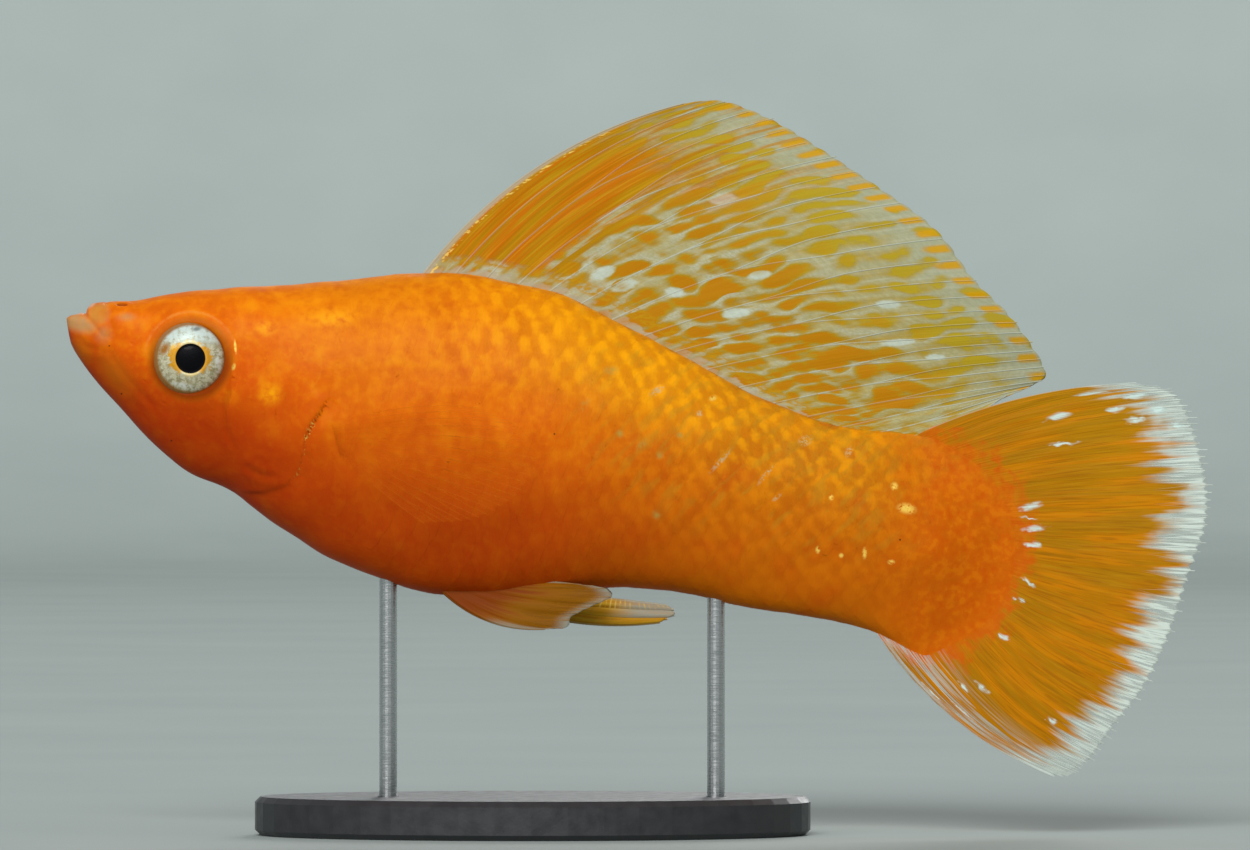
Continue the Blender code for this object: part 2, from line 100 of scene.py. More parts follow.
def line_through(points):
    """A smooth line through the points, as a function of the share of its length."""
    points = np.array(points, float)
    ends = np.concatenate([points[:1], points, points[-1:]])
    t = np.arange(12)[:, None] / 12
    parts = []
    for p, q, r, s in zip(ends, ends[1:], ends[2:], ends[3:]):
        bent = (2 * p - 5 * q + 4 * r - s) * t * t
        parts.append(0.5 * (2 * q + (r - p) * t + bent + (3 * q - p - 3 * r + s) * t ** 3))
    dense = np.concatenate(parts + [points[-1:]])
    walked = np.concatenate([[0.0], np.cumsum(np.linalg.norm(np.diff(dense, axis=0), axis=1))])

    def at(share):
        target = np.asarray(share) * walked[-1]
        return np.stack([np.interp(target, walked, column) for column in dense.T], axis=-1)

    return at


def metres(places):
    """Places in (along, out, height) as points of the model."""
    points = np.array(places, float) * MM
    points[..., 0] -= STAND_ALONG * MM
    return points


print("a soft rise at a quarter of its way:", smooth_step(0, 1, 0.25))

# %% [markdown]
# ## The form of the body
#
# A fish's body is close to a row of ribs, each a squared-off oval. The tables give the back, the
# belly, the half width and how full each rib is. They are the solid model's own, so the skin fits.

# %% The body's ribs
BODY_LENGTH = 86.0
TAIL_ROUND_START = 77.3
SNOUT_ROUND = 0.5
BACK_LINE = [
    (0, 46.7), (1.6, 47.1), (2.5, 47.9), (5.8, 48.1), (12.1, 49.1), (22.9, 49.9), (33.7, 50.7),
    (42.7, 49.3), (53.5, 44.3), (64.3, 38.7), (71, 36.6), (77.3, 36),
]
BELLY_LINE = [
    (0, 46), (0.3, 44.6), (1.1, 43), (4.3, 39), (10.3, 33.1), (15, 30.7), (16.4, 29.6), (19, 27.7),
    (24.6, 24.4), (29.2, 22.6), (34, 21.5), (39, 21.3), (50.4, 22.2), (62.5, 20.2), (71.5, 18.7),
    (77.3, 15.9),
]
HALF_WIDTH = [
    (0, 0.7), (1.3, 2.1), (3.1, 2.9), (6.7, 3.9), (12.1, 5.1), (17.6, 6), (24.7, 6.8), (33, 7),
    (42.7, 6.7), (53.5, 5.6), (64.3, 4.2), (77.3, 2.4), (86, 0.5),
]
back_height = height_curve(BACK_LINE)
belly_height = height_curve(BELLY_LINE)
half_width = height_curve(HALF_WIDTH)
widest_level = height_curve([(0, 0.75), (6, 0.64), (15, 0.54), (35, 0.5), (86, 0.5)])
back_fullness = height_curve([(0, 2.5), (10, 2.9), (25, 2.3), (45, 2.0), (86, 2.0)])
belly_fullness = height_curve([(0, 2.1), (12, 1.8), (25, 2.0), (40, 2.1), (86, 1.9)])
TAIL_MIDDLE = (belly_height(TAIL_ROUND_START) + back_height(TAIL_ROUND_START)) / 2


def rib_heights(along):
    """The heights of the back and the belly, drawn in to a rounded lobe at the tail."""
    top, bottom = back_height(along), belly_height(along)
    share = np.clip((along - TAIL_ROUND_START) / (BODY_LENGTH - TAIL_ROUND_START), 0, 1)
    squeeze = np.sqrt(np.maximum(1 - share * share, 0.0004))
    return between(TAIL_MIDDLE, top, squeeze), between(TAIL_MIDDLE, bottom, squeeze)


def rib_point(along, angle):
    """(out, height) on the rib: angle 0 is the widest place and a right angle the back."""
    top, bottom = rib_heights(along)
    middle = between(bottom, top, widest_level(along))
    up = np.sin(angle) >= 0
    power = 2 / np.where(up, back_fullness(along), belly_fullness(along))
    snout = np.clip(1 - along / SNOUT_ROUND, 0, 1)
    shrink = np.sqrt(1 - snout * snout)
    reach = (np.where(up, top, bottom) - middle) * shrink
    out = half_width(along) * shrink * np.abs(np.cos(angle)) ** power
    return out, middle + reach * np.abs(np.sin(angle)) ** power


def flank(along, height):
    """How far the flank lies from the middle plane at this place."""
    top, bottom = rib_heights(along)
    middle = between(bottom, top, widest_level(along))
    up = height >= middle
    power = np.where(up, back_fullness(along), belly_fullness(along))
    share = np.abs(height - middle) / np.abs(np.where(up, top, bottom) - middle)
    return half_width(along) * np.maximum(1 - share ** power, 0.0) ** (1 / power)


print("half width at the widest place:", round(float(half_width(33)), 2), "mm")

# %% [markdown]
# ## Camera, floor and light
#
# A long lens from far away keeps the fish's side flat, as a portrait of a fish wants it. The floor
# turns up into a wall all round, like a bowl, far enough out that a camera can walk round the fish
# inside it and never sees a horizon. The lamps are wide suns, because a far lamp lights the fish
# and the bowl alike. The main one is above: a fish is lit from above in life, and its belly stays
# darker. The plain "Standard" view keeps a strong orange strong.

# %% Camera
scene = bpy.context.scene
scene.view_settings.view_transform = "Standard"
camera = bpy.data.objects.new("camera", bpy.data.cameras.new("camera"))
camera.data.lens = 288.0
camera.data.sensor_width = 36.0
camera.data.clip_start = 0.05
camera.data.clip_end = 20.0
camera.location = (0.00831, -0.9, 0.0369)
camera.rotation_euler = (math.radians(90), 0.0, 0.0)
scene.collection.objects.link(camera)
scene.camera = camera
print("camera at", tuple(round(part, 4) for part in camera.location))


# %% Meshes and pieces
def new_mesh(name, points, faces):
    mesh = bpy.data.meshes.new(name)
    mesh.from_pydata(np.asarray(points).tolist(), [], [list(face) for face in faces])
    mesh.update()
    return mesh


def add_piece(name, mesh, material):
    """An object at the origin that shows the mesh, shaded smooth."""
    mesh.materials.clear()
    mesh.materials.append(material)
    mesh.shade_smooth()
    piece = bpy.data.objects.new(name, mesh)
    scene.collection.objects.link(piece)
    return piece


# %% [markdown]
# ## Node trees written as sums
#
# A material is a tree of nodes, and most of its nodes only add, multiply or compare two values.
# Here each value that runs through a tree is a Signal, and signals add and multiply like numbers.
# So a recipe of a hundred nodes reads as a few lines of sums.


# %% Signals
class Signal:
    """One output of a node. Signals add, subtract, multiply and divide like numbers."""

    def __init__(self, wires, node, output=0):
        self.wires = wires
        self.node = node
        self.socket = node.outputs[output] if node.outputs else None

    def maths(self, operation, other=0.0):
        return self.wires.maths(operation, self, other)

    def __add__(self, other):
        return self.maths("ADD", other)

    def __sub__(self, other):
        return self.maths("SUBTRACT", other)

    def __rsub__(self, other):
        return self.wires.maths("SUBTRACT", other, self)

    def __mul__(self, other):
        return self.maths("MULTIPLY", other)

    def __truediv__(self, other):
        return self.maths("DIVIDE", other)

    def __abs__(self):
        return self.maths("ABSOLUTE")

    def rise(self, low, high, least=0.0, most=1.0):
        """least below low, most above high, with a soft rise. low may be the greater one."""
        if low > high:
            low, high, least, most = high, low, most, least
        names = ("Value", "From Min", "From Max", "To Min", "To Max")
        inputs = dict(zip(names, (self, low, high, least, most)))
        return self.wires.node("ShaderNodeMapRange", inputs, interpolation_type="SMOOTHSTEP")

    def vector(self, operation, other):
        return self.wires.node("ShaderNodeVectorMath", {0: self, 1: other}, operation=operation)

    def length(self):
        return self.wires.node("ShaderNodeVectorMath", {0: self}, 1, operation="LENGTH")

    def split(self):
        """The three parts of a vector."""
        node = self.wires.node("ShaderNodeSeparateXYZ", {0: self}).node
        return [Signal(self.wires, node, part) for part in range(3)]

    def noise(self, size, detail=2.0):
        """Soft noise from 0 to 1. size is in waves for each unit, one number or one per axis."""
        stretch = size if isinstance(size, tuple) else (size, size, size)
        inputs = {"Vector": self.vector("MULTIPLY", stretch), "Scale": 1.0, "Detail": detail}
        return self.wires.node("ShaderNodeTexNoise", inputs)

    def cells(self, size):
        """The distance to the nearest of many scattered points."""
        inputs = {"Vector": self.vector("MULTIPLY", (size, size, size)), "Scale": 1.0}
        return self.wires.node("ShaderNodeTexVoronoi", inputs)

    def spots(self, marks, soft):
        """1 inside small ovals and 0 outside. A mark is (x, z, half length, half width, turn)."""
        right_through = 1000.0
        total = 0.0
        for x, z, length, width, turn in marks:
            inputs = {
                "Vector": self,
                "Location": (x, 0.0, z),
                "Rotation": (0.0, -math.radians(turn), 0.0),
                "Scale": (length, right_through, width),
            }
            local = self.wires.node("ShaderNodeMapping", inputs, vector_type="TEXTURE")
            total = greatest(local.length().rise(1.0, soft), total)
        return total

    def ramp(self, stops):
        """A colour that runs through the stops, which are (value, colour)."""
        made = self.wires.node("ShaderNodeValToRGB", {0: self})
        elements = made.node.color_ramp.elements
        while len(elements) < len(stops):
            elements.new(0.5)
        for element, (at, colour) in zip(elements, stops):
            element.position = at
            element.color = (*colour, 1)
        return made

    def bump(self, distance):
        """A normal that follows small ups and downs. distance is their size in metres."""
        inputs = {"Height": self, "Distance": distance, "Strength": 1.0}
        return self.wires.node("ShaderNodeBump", inputs)


# %% Wires
class Wires:
    """Adds nodes to one tree and wires them up."""

    def __init__(self, tree):
        self.tree = tree

    def wire(self, value, socket):
        """Sets a socket by link or by plain value. A list links several signals to it."""
        for part in value if isinstance(value, list) else [value]:
            if isinstance(part, Signal):
                self.tree.links.new(part.socket, socket)
            else:
                socket.default_value = part

    def node(self, kind, inputs=None, output=0, **settings):
        """Adds a node, fills its inputs, and returns one of its outputs."""
        made = self.tree.nodes.new(kind)
        for name, value in settings.items():
            setattr(made, name, value)
        for name, value in (inputs or {}).items():
            self.wire(value, made.inputs[name])
        return Signal(self, made, output)

    def maths(self, operation, a, b=0.0):
        return self.node("ShaderNodeMath", {0: a, 1: b}, operation=operation)

    def join(self, *parts):
        return self.node("ShaderNodeCombineXYZ", dict(enumerate(parts)))

    def attribute(self, name, output=2):
        """A number (output 2) or a vector (output 1) that is stored on the mesh."""
        return self.node("ShaderNodeAttribute", output=output, attribute_name=name)

    def place(self):
        """Where the shaded point is, in (along, out, height)."""
        inputs = {
            "Vector": self.node("ShaderNodeTexCoord", output="Object"),
            "Location": (STAND_ALONG, 0.0, 0.0),
            "Scale": (1 / MM, 1 / MM, 1 / MM),
        }
        return self.node("ShaderNodeMapping", inputs)


def greatest(first, *others):
    for other in others:
        first = first.maths("MAXIMUM", other)
    return first


# %% Colours in layers
def mix(share, below, above):
    """One colour over another, by a share from 0 to 1."""
    below, above = (c if isinstance(c, Signal) else (*c, 1) for c in (below, above))
    inputs = {0: share, 6: below, 7: above}
    return share.wires.node("ShaderNodeMix", inputs, 2, data_type="RGBA", clamp_factor=True)


def lay(colour, *layers):
    """Lays tones over a colour, one after the other. A layer is (share, tone)."""
    for share, tone in layers:
        colour = mix(share, colour, tone)
    return colour


class Patterns:
    """Signals that a whole recipe reads, under short names."""

    def __init__(self, wires, **signals):
        self.wires = wires
        self.__dict__.update(signals)


# %% Materials
def new_material(name):
    """An empty material with one Principled shader, and the wires of its tree."""
    material = bpy.data.materials.new(name)
    material.use_nodes = True
    return material, Wires(material.node_tree)


def wear(material, **values):
    """Sets the shader's sockets, by link or by plain value."""
    shader = material.node_tree.nodes["Principled BSDF"]
    for name, value in values.items():
        label = name.replace("_", " ").title().replace("Ior", "IOR")
        Wires(material.node_tree).wire(value, shader.inputs[label])


# %% Floor and wall in one bowl
FLOOR_RADIUS = 1.75
CURVE_RADIUS = 0.45
WALL_HEIGHT = 0.6
CURVE_STEPS = 24
AROUND = 96
profile = [(0.3, 0.0), (1.0, 0.0), (FLOOR_RADIUS, 0.0)]
for step in range(1, CURVE_STEPS + 1):
    turn = math.pi / 2 * step / CURVE_STEPS
    rise = CURVE_RADIUS * (1 - math.cos(turn))
    profile.append((FLOOR_RADIUS + CURVE_RADIUS * math.sin(turn), rise))
profile.append((FLOOR_RADIUS + CURVE_RADIUS, WALL_HEIGHT))
bowl_points = [(0.0, 0.0, 0.0)]
for radius, height in profile:
    for step in range(AROUND):
        turn = 2 * math.pi * step / AROUND
        bowl_points.append((radius * math.cos(turn), radius * math.sin(turn), height))
bowl_faces = []
for i in range(AROUND):
    j = (i + 1) % AROUND
    bowl_faces.append((0, 1 + i, 1 + j))
    for ring in range(len(profile) - 1):
        low = 1 + ring * AROUND
        bowl_faces.append((low + i, low + AROUND + i, low + AROUND + j, low + j))
material, wires = new_material("studio_paper")
place = wires.place()
cloud = place.noise(0.02, 3)
paper = mix(cloud, (0.29, 0.335, 0.32), (0.34, 0.385, 0.365))
wear(material, base_color=paper, roughness=0.9, specular_ior_level=0.1)
floor = add_piece("studio_bowl", new_mesh("studio_bowl", bowl_points, bowl_faces), material)
print("bowl faces:", len(bowl_faces))


# %% Lamps
def add_lamp(name, place, width, power):
    """A soft lamp very far away in the direction of a place. width is in degrees."""
    light = bpy.data.lights.new(name, "SUN")
    light.angle = math.radians(width)
    light.energy = power
    lamp = bpy.data.objects.new(name, light)
    lamp.location = place
    lamp.rotation_euler = Vector(place).to_track_quat("Z", "Y").to_euler()
    scene.collection.objects.link(lamp)


add_lamp("main_lamp", (-0.12, -0.70, 0.46), 30.0, 2.7)
add_lamp("front_lamp", (-0.70, -0.80, 0.36), 30.0, 0.5)
add_lamp("back_lamp", (0.25, 0.80, 0.40), 30.0, 1.4)
world = bpy.data.worlds.new("studio")
world.use_nodes = True
sky = world.node_tree.nodes["Background"].inputs
sky["Color"].default_value = (0.92, 0.96, 1.0, 1)
sky["Strength"].default_value = 0.36
scene.world = world
print("lamps:", len(bpy.data.lights))

# %% [markdown]
# ## The skin's grid
#
# The skin is one closed sheet: rings round the body, close together at the mouth and the eye and
# wider apart on the trunk. On each ring the points stand at equal steps of the way from the back
# to the belly, so that a place on the skin is simply (along, way round), and scales can later be
# laid out flat in those two numbers.

# %% Rings of equal steps
HALF_POINTS = 144
FINE_STEPS = 721
RING_STEPS = [(0.0, 0.5, 0.06), (0.5, 6.4, 0.12), (6.4, 25.6, 0.2), (25.6, 77.0, 0.6), (77.0, 86.0, 0.25)]
ring_along = []
for low, high, gap in RING_STEPS:
    ring_along.extend(np.linspace(low, high, round((high - low) / gap), endpoint=False))
ring_along = np.array(ring_along[1:] + [BODY_LENGTH - 0.02])


def equal_steps(along, count):
    """(out, height) at equal steps down the left side of the ribs, from the back to the belly."""
    angle = np.linspace(math.pi / 2, -math.pi / 2, FINE_STEPS)
    out, height = rib_point(along[:, None], angle[None, :])
    pieces = np.hypot(np.diff(out, axis=1), np.diff(height, axis=1))
    walked = np.concatenate([np.zeros((len(along), 1)), np.cumsum(pieces, axis=1)], axis=1)
    found = np.empty((len(along), count + 1, 2))
    for i, way in enumerate(walked):
        target = np.linspace(0, way[-1], count + 1)
        found[i, :, 0] = np.interp(target, way, out[i])
        found[i, :, 1] = np.interp(target, way, height[i])
    return found


half_rings = equal_steps(ring_along, HALF_POINTS)
print("rings:", len(half_rings))


# %% The thin lobe over the tail fin
LOBE_FADE = 8.5


def thin_lobe(half):
    """Thins the rounded end of the body to a lens, so that it runs out into the tail fin."""
    nearness = (ring_along - TAIL_ROUND_START) / (BODY_LENGTH - TAIL_ROUND_START)
    nearness = nearness[:, None]
    share = np.clip(nearness, 0, 1)
    top, bottom = (h[:, None] for h in rib_heights(ring_along))
    reach = np.sqrt(np.clip(1 - share ** 2, 0.0001, 1))
    full = (top - bottom) / 2 / reach
    rise = np.clip((2 * half[..., 1] - bottom - top) / (top - bottom), -1, 1) * reach
    inside = (1 - np.hypot(share, rise)) * np.minimum(full, BODY_LENGTH - TAIL_ROUND_START)
    thinned = smooth_step(-1.2, LOBE_FADE, inside)
    half[..., 0] *= between(1, thinned, smooth_step(-0.8, 0.35, nearness))
    return half


half_rings = thin_lobe(half_rings)


def whole_rings(half):
    """Left half rings as whole rings of places: down the left side, then up the right one."""
    left = np.empty((len(half), HALF_POINTS + 1, 3))
    left[..., 0] = ring_along[:, None]
    left[..., 1] = -half[..., 0]
    left[..., 2] = half[..., 1]
    right = left[:, -2:0:-1] * (1, -1, 1)
    return np.concatenate([left, right], axis=1)


# %% Which way the grid faces
def grid_normals(places, wrap, check):
    """Unit normals of a grid of places, turned so that the one at check points to the left.

    wrap closes the grid along its second axis.
    """
    down = np.gradient(places, axis=0)
    if wrap:
        round_it = np.roll(places, -1, axis=1) - np.roll(places, 1, axis=1)
    else:
        round_it = np.gradient(places, axis=1)
    normals = np.cross(down, round_it)
    normals = normals / np.maximum(np.linalg.norm(normals, axis=-1, keepdims=True), 1e-12)
    return -normals if normals[check][1] > 0 else normals


# A ring, and a point of that ring, on the left side.
LEFT_FLANK = (60, 40)
body = whole_rings(half_rings)
body_normals = grid_normals(body, True, LEFT_FLANK)
print("skin grid:", body.shape[:2])

# %% [markdown]
# ## The relief of the head
#
# A real head isn't a smooth egg. The mouth is a slit across the top of the snout, with a lip on
# each side. There are nostrils, a ring of skin round the eye, a fold on the cheek and the gill
# cover's free edge. Each is a formula of the distance to a line or a spot, added along the normal:
# ridges go out and grooves go in. That keeps every fold in its measured place.

# %% Lines of the head
EYE_CENTRE = (11.45, 42.85)
GAPE = [(1.45, 48.2), (1.75, 46.95), (2.35, 46.2), (2.95, 45.5), (3.65, 44.6)]
LIP_FOLD = [(3.7, 48.4), (3.75, 47.4), (4.1, 46.3), (4.25, 45.4), (3.85, 44.45)]
JAW_FOLD = [(3.7, 44.5), (4.4, 43.0), (5.6, 41.2), (7.4, 39.2), (9.0, 37.6)]
CHIN_FOLD = [(0.9, 45.1), (2.0, 43.9), (3.2, 43.6), (4.2, 43.2)]
CHEEK_FOLD = [(15.35, 44.2), (15.6, 42.3), (15.1, 40.0), (14.6, 38.0), (14.75, 36.0), (15.6, 34.0)]
COVER_FOLD = [(16.0, 33.3), (17.8, 32.3), (19.5, 32.4)]
GILL_EDGE = [
    (24, 39.4), (23.1, 38.1), (22.2, 36.8), (21.7, 35.5), (21.7, 34.5), (21.1, 32.6), (19.8, 31.4),
    (17.7, 30.8), (15.2, 30.7),
]
NOSTRILS = [(5.15, 47.72, 0.55, 0.17)]
LINE_POINTS = 60
PORES = [
    (8.3, 46.9), (10.2, 47.9), (13.1, 47.6), (15.3, 46.2), (16.6, 45.3), (9, 38.9), (11.2, 37.6),
    (13.4, 37.6), (7.2, 40.9), (6.1, 44.2),
]


def beside(line, along, height):
    """(distance, share of the way, side) of each place, seen from the side of the fish."""
    path = line_through(line)(np.linspace(0, 1, LINE_POINTS))
    place = np.stack([along, height], axis=-1).reshape(-1, 2)
    best = np.full(len(place), np.inf)
    share = np.zeros(len(place))
    side = np.ones(len(place))
    for i, (a, b) in enumerate(zip(path, path[1:])):
        step = b - a
        t = np.clip((place - a) @ step / (step @ step), 0, 1)
        gap = place - a - t[:, None] * step
        distance = np.hypot(*gap.T)
        nearer = distance < best
        best = np.where(nearer, distance, best)
        share = np.where(nearer, (i + t) / (len(path) - 1), share)
        turn = step[0] * gap[:, 1] - step[1] * gap[:, 0]
        side = np.where(nearer, np.sign(turn), side)
    shape = np.shape(along)
    return best.reshape(shape), share.reshape(shape), side.reshape(shape)


def hump(distance, width):
    """1 on the line, falling softly to 0 at about twice the width."""
    return np.exp(-((distance / width) ** 2))


def fading(share, begin, end):
    """1 along a line, and 0 at its two ends."""
    return smooth_step(0.0, begin, share) * smooth_step(1.0, end, share)


print("nostrils:", len(NOSTRILS), "pores:", len(PORES))


# %% Ridges and grooves along the lines
# Each function gives how far the skin is raised at a place, and how strongly its crease is darkened with
# painted shade.
def mouth_relief(along, height):
    distance, share, _ = beside(GAPE, along, height)
    mouth = smooth_step(1.0, 0.9, share)
    open_top = smooth_step(0.55, 0.2, share)
    raised = mouth * 0.03 * hump(distance - 0.42, 0.24)
    raised -= mouth * (0.04 + 0.20 * open_top) * hump(distance, 0.18)
    crease = mouth * (0.08 + 0.26 * open_top) * hump(distance, 0.13)
    distance, share, _ = beside(LIP_FOLD, along, height)
    fade = fading(share, 0.15, 0.9)
    raised -= fade * 0.08 * hump(distance, 0.20)
    return raised, np.maximum(crease, fade * 0.14 * hump(distance, 0.16))


def fold_relief(along, height):
    raised, crease = np.zeros_like(along), np.zeros_like(along)
    for line, depth, width in (
        (JAW_FOLD, 0.012, 0.35),
        (CHIN_FOLD, 0.01, 0.30),
        (CHEEK_FOLD, 0.14, 0.24),
        (COVER_FOLD, 0.05, 0.4),
    ):
        distance, share, _ = beside(line, along, height)
        fade = fading(share, 0.12, 0.75)
        raised += fade * (0.05 * hump(distance - 0.55, 0.4) - depth * hump(distance, width))
        crease = np.maximum(crease, fade * depth * 3.2 * hump(distance, width * 0.7))
    return raised, crease


def gill_relief(along, height):
    distance, share, side = beside(GILL_EDGE, along, height)
    fade = fading(share, 0.05, 0.9) * between(1.0, 0.35, smooth_step(0.42, 0.60, share))
    ahead = np.where(side < 0, distance, -distance)
    plateau = 0.12 * smooth_step(2.6, 0.5, ahead) * smooth_step(-0.03, 0.05, ahead)
    drop = -0.20 * smooth_step(-1.3, -0.12, ahead) * smooth_step(0.05, -0.03, ahead)
    raised = fade * (plateau + drop) * smooth_step(3.0, 2.0, distance)
    return raised, 0.9 * fade * hump(ahead + 0.06, 0.085)


def eye_relief(along, height):
    eye = np.hypot(along - EYE_CENTRE[0], height - EYE_CENTRE[1])
    above = smooth_step(-0.5, 2.5, height - EYE_CENTRE[1])
    raised = 0.22 * smooth_step(5.4, 3.4, eye) * smooth_step(2.9, 3.3, eye)
    raised += 0.03 * above * hump(eye - 4.2, 0.22)
    raised -= 2.2 * smooth_step(3.08, 2.5, eye)
    return raised, 0.55 * hump(eye - 3.02, 0.15)


def pit_relief(along, height):
    raised, crease = np.zeros_like(along), np.zeros_like(along)
    for x, z, length, width in NOSTRILS:
        reach = np.hypot((along - x) / length, (height - z) / width)
        raised += 0.03 * hump(reach - 1.35, 0.35) - 0.30 * smooth_step(1.0, 0.5, reach)
        crease = np.maximum(crease, smooth_step(1.1, 0.7, reach))
    for x, z in PORES:
        reach = np.hypot(along - x, height - z)
        raised += 0.03 * hump(reach - 0.2, 0.1) - 0.10 * hump(reach, 0.09)
        crease = np.maximum(crease, 0.35 * hump(reach, 0.1))
    return raised, crease


# Grooves, folds, pits, the gape and the nostrils also get painted shade: crease darkens the flesh's colour
# there.
reliefs = [
    part(body[..., 0], body[..., 2])
    for part in (mouth_relief, fold_relief, gill_relief, eye_relief, pit_relief)
]
relief = sum(raised for raised, _ in reliefs)
crease_shades = np.clip(np.maximum.reduce([crease for _, crease in reliefs]), 0, 1)
print("skin relief from", round(relief.min(), 2), "to", round(relief.max(), 2), "mm")


# %% Soft muscles, and how deep the skin lies
def skin_depth(along):
    """How deep the skin lies under the solids: as deep as the coat of scales is thick."""
    return 0.03 + 0.11 * smooth_step(6.0, 18.0, along)


def soft_waves(along, out, height):
    """Very shallow ups and downs of the muscles under the skin, in mm."""
    waves = np.sin(along * 0.9 + height * 0.5)
    waves = waves + np.sin(height * 1.1 - along * 0.35 + 1.3)
    waves = waves + np.sin(along * 1.7 + out * 0.8 + 0.6) * 0.5
    return 0.035 * waves * smooth_step(1.0, 6.0, along)


aside = np.abs(body[..., 1])
thin = smooth_step(66.0, 72.0, body[..., 0])
waves = soft_waves(body[..., 0], body[..., 1], body[..., 2]) * between(1.0, np.clip(aside, 0, 1), thin)
depth = skin_depth(body[..., 0])
depth = between(depth, np.minimum(depth, 0.5 * aside), thin)
skin_grid = body + body_normals * (relief + waves - depth)[..., None]
print("skin lies", round(depth.min(), 3), "to", round(depth.max(), 3), "mm under the solids")


# %% Close the grid into one skin
def closed_tube(grid, nose, tail):
    """Points and faces of a grid of rings, closed by a point at each end."""
    rings, around = grid.shape[:2]
    points = np.concatenate([grid.reshape(-1, 3), [nose], [tail]])
    here = np.arange(rings * around).reshape(rings, around)
    beside_it = np.roll(here, -1, axis=1)
    quads = np.stack([here[:-1], here[1:], beside_it[1:], beside_it[:-1]], axis=-1).reshape(-1, 4)
    faces = quads.tolist()
    front, back = rings * around, rings * around + 1
    for i in range(around):
        j = (i + 1) % around
        faces.append([here[0, i], here[0, j], front])
        faces.append([here[-1, j], here[-1, i], back])
    return points, faces


nose_tip = skin_grid[0].mean(axis=0) - (0.03, 0, 0)
tail_tip = skin_grid[-1].mean(axis=0) + (0.05, 0, 0)
skin_points, skin_faces = closed_tube(skin_grid, nose_tip, tail_tip)
skin_mesh = new_mesh("skin", metres(skin_points), skin_faces)
if skin_mesh.polygons[30 * 2 * HALF_POINTS + HALF_POINTS // 2].normal.y > 0:
    skin_mesh.flip_normals()


def store(mesh, name, values):
    """Stores one number, or one vector, for each point of a mesh."""
    values = np.asarray(values, np.float32)
    kind = "FLOAT" if values.ndim == 1 else "FLOAT_VECTOR"
    attribute = mesh.attributes.new(name, kind, "POINT")
    attribute.data.foreach_set("value" if kind == "FLOAT" else "vector", values.ravel())


def body_level(along, height):
    """0 at the belly and 1 at the back."""
    top, bottom = rib_heights(along)
    return np.clip((height - bottom) / np.maximum(top - bottom, 0.2), 0, 1)


store(skin_mesh, "level", body_level(skin_points[:, 0], skin_points[:, 2]))
# Painted shade for the creases, which the flesh's colour reads.
store(skin_mesh, "crease", np.concatenate([crease_shades.ravel(), [0.0, 0.0]]))


# %% Where the scales' middles lie
ROWS = 17
COLUMN_GAP = 1.035
FIRST_COLUMN = 9.0
MIDDLE_OF_SCALE = 1.07


def lattice(along, turn):
    """Counts columns and rows of scales at a place. turn goes from 0 to 2 round the body."""
    column = (along - FIRST_COLUMN - MIDDLE_OF_SCALE) / COLUMN_GAP
    return np.stack([column, turn * ROWS / 2, np.zeros_like(column)], axis=-1)


ring_turns = np.broadcast_to(np.arange(2 * HALF_POINTS) / HALF_POINTS, skin_grid.shape[:2])
skin_lattice = lattice(skin_grid[..., 0], ring_turns).reshape(-1, 3)
store(skin_mesh, "lattice", np.concatenate([skin_lattice, skin_lattice[:1], skin_lattice[-1:]]))
store(skin_mesh, "tone", np.full(len(skin_points), 0.5))
print("skin faces:", len(skin_mesh.polygons))

# %% [markdown]
# ## The colours of the flesh
#
# A golden molly is orange all over, but never one orange: brick red under the throat and the belly,
# yellower on the back, olive gold towards the tail, and pale pink at the lips, where no colour
# cells lie. Small gold and silver flecks shine where a scale mirrors: they are made a little
# metallic, and their brightness is partly painted reflection. Skin and scales share one recipe,
# written in places of the fish, so the marks run on across them.

# %% Where the marks sit, as (along, height, half length, half width, turn)
SILVER_MARKS = [
    (58.9, 33.7, 1.9, 0.3, 47), (62.9, 32.4, 1.5, 0.28, 50), (66.5, 35.5, 0.9, 0.6, 20),
    (70.4, 34.5, 0.7, 0.4, 60), (53.2, 40, 1, 0.45, 30), (57, 37.9, 0.4, 0.4, 0),
    (63.9, 30.4, 0.7, 0.25, 40),
]
GOLD_MARKS = [
    (75.6, 29.4, 1.15, 0.65, -10), (74.5, 31.4, 0.45, 0.5, 0), (67.6, 25.7, 0.3, 0.45, 0),
    (69.7, 25.2, 0.3, 0.3, 0), (71.8, 25.4, 0.28, 0.7, 0), (74.2, 24.6, 0.45, 0.3, 0),
    (68.8, 30.4, 0.3, 0.35, 0), (58.2, 39.3, 0.5, 0.35, 20),
]
OLIVE_MARKS = [
    (49.1, 41.8, 1, 0.6, 0), (46.6, 38.6, 1.1, 0.5, 50), (49.8, 36.1, 0.6, 0.55, 0),
    (51.8, 35.1, 0.9, 0.45, 45), (53.4, 34.2, 0.5, 0.5, 0), (55.2, 36, 0.5, 0.4, 0),
    (53.1, 28.9, 0.6, 0.6, 0),
]
YELLOW_PATCHES = [(18.2, 45.6, 1.5, 1.1, 0), (18.6, 39.7, 1.6, 1.5, 0), (24, 46.5, 3.6, 1.4, 0)]
GLINTS = [(15.45, 43.9, 0.16, 0.85, 5), (15.3, 42.1, 0.24, 0.45, -15)]
DARK_SPECKS = [
    (5.1, 39.7, 0.1, 0.1, 0), (9.6, 35.5, 0.1, 0.1, 0), (4.05, 44, 0.08, 0.08, 0),
    (34.5, 33.6, 0.1, 0.08, 0), (44, 36.1, 0.1, 0.1, 0), (75, 26.6, 0.1, 0.12, 0),
]
print("silver marks:", len(SILVER_MARKS), "golden ones:", len(GOLD_MARKS))


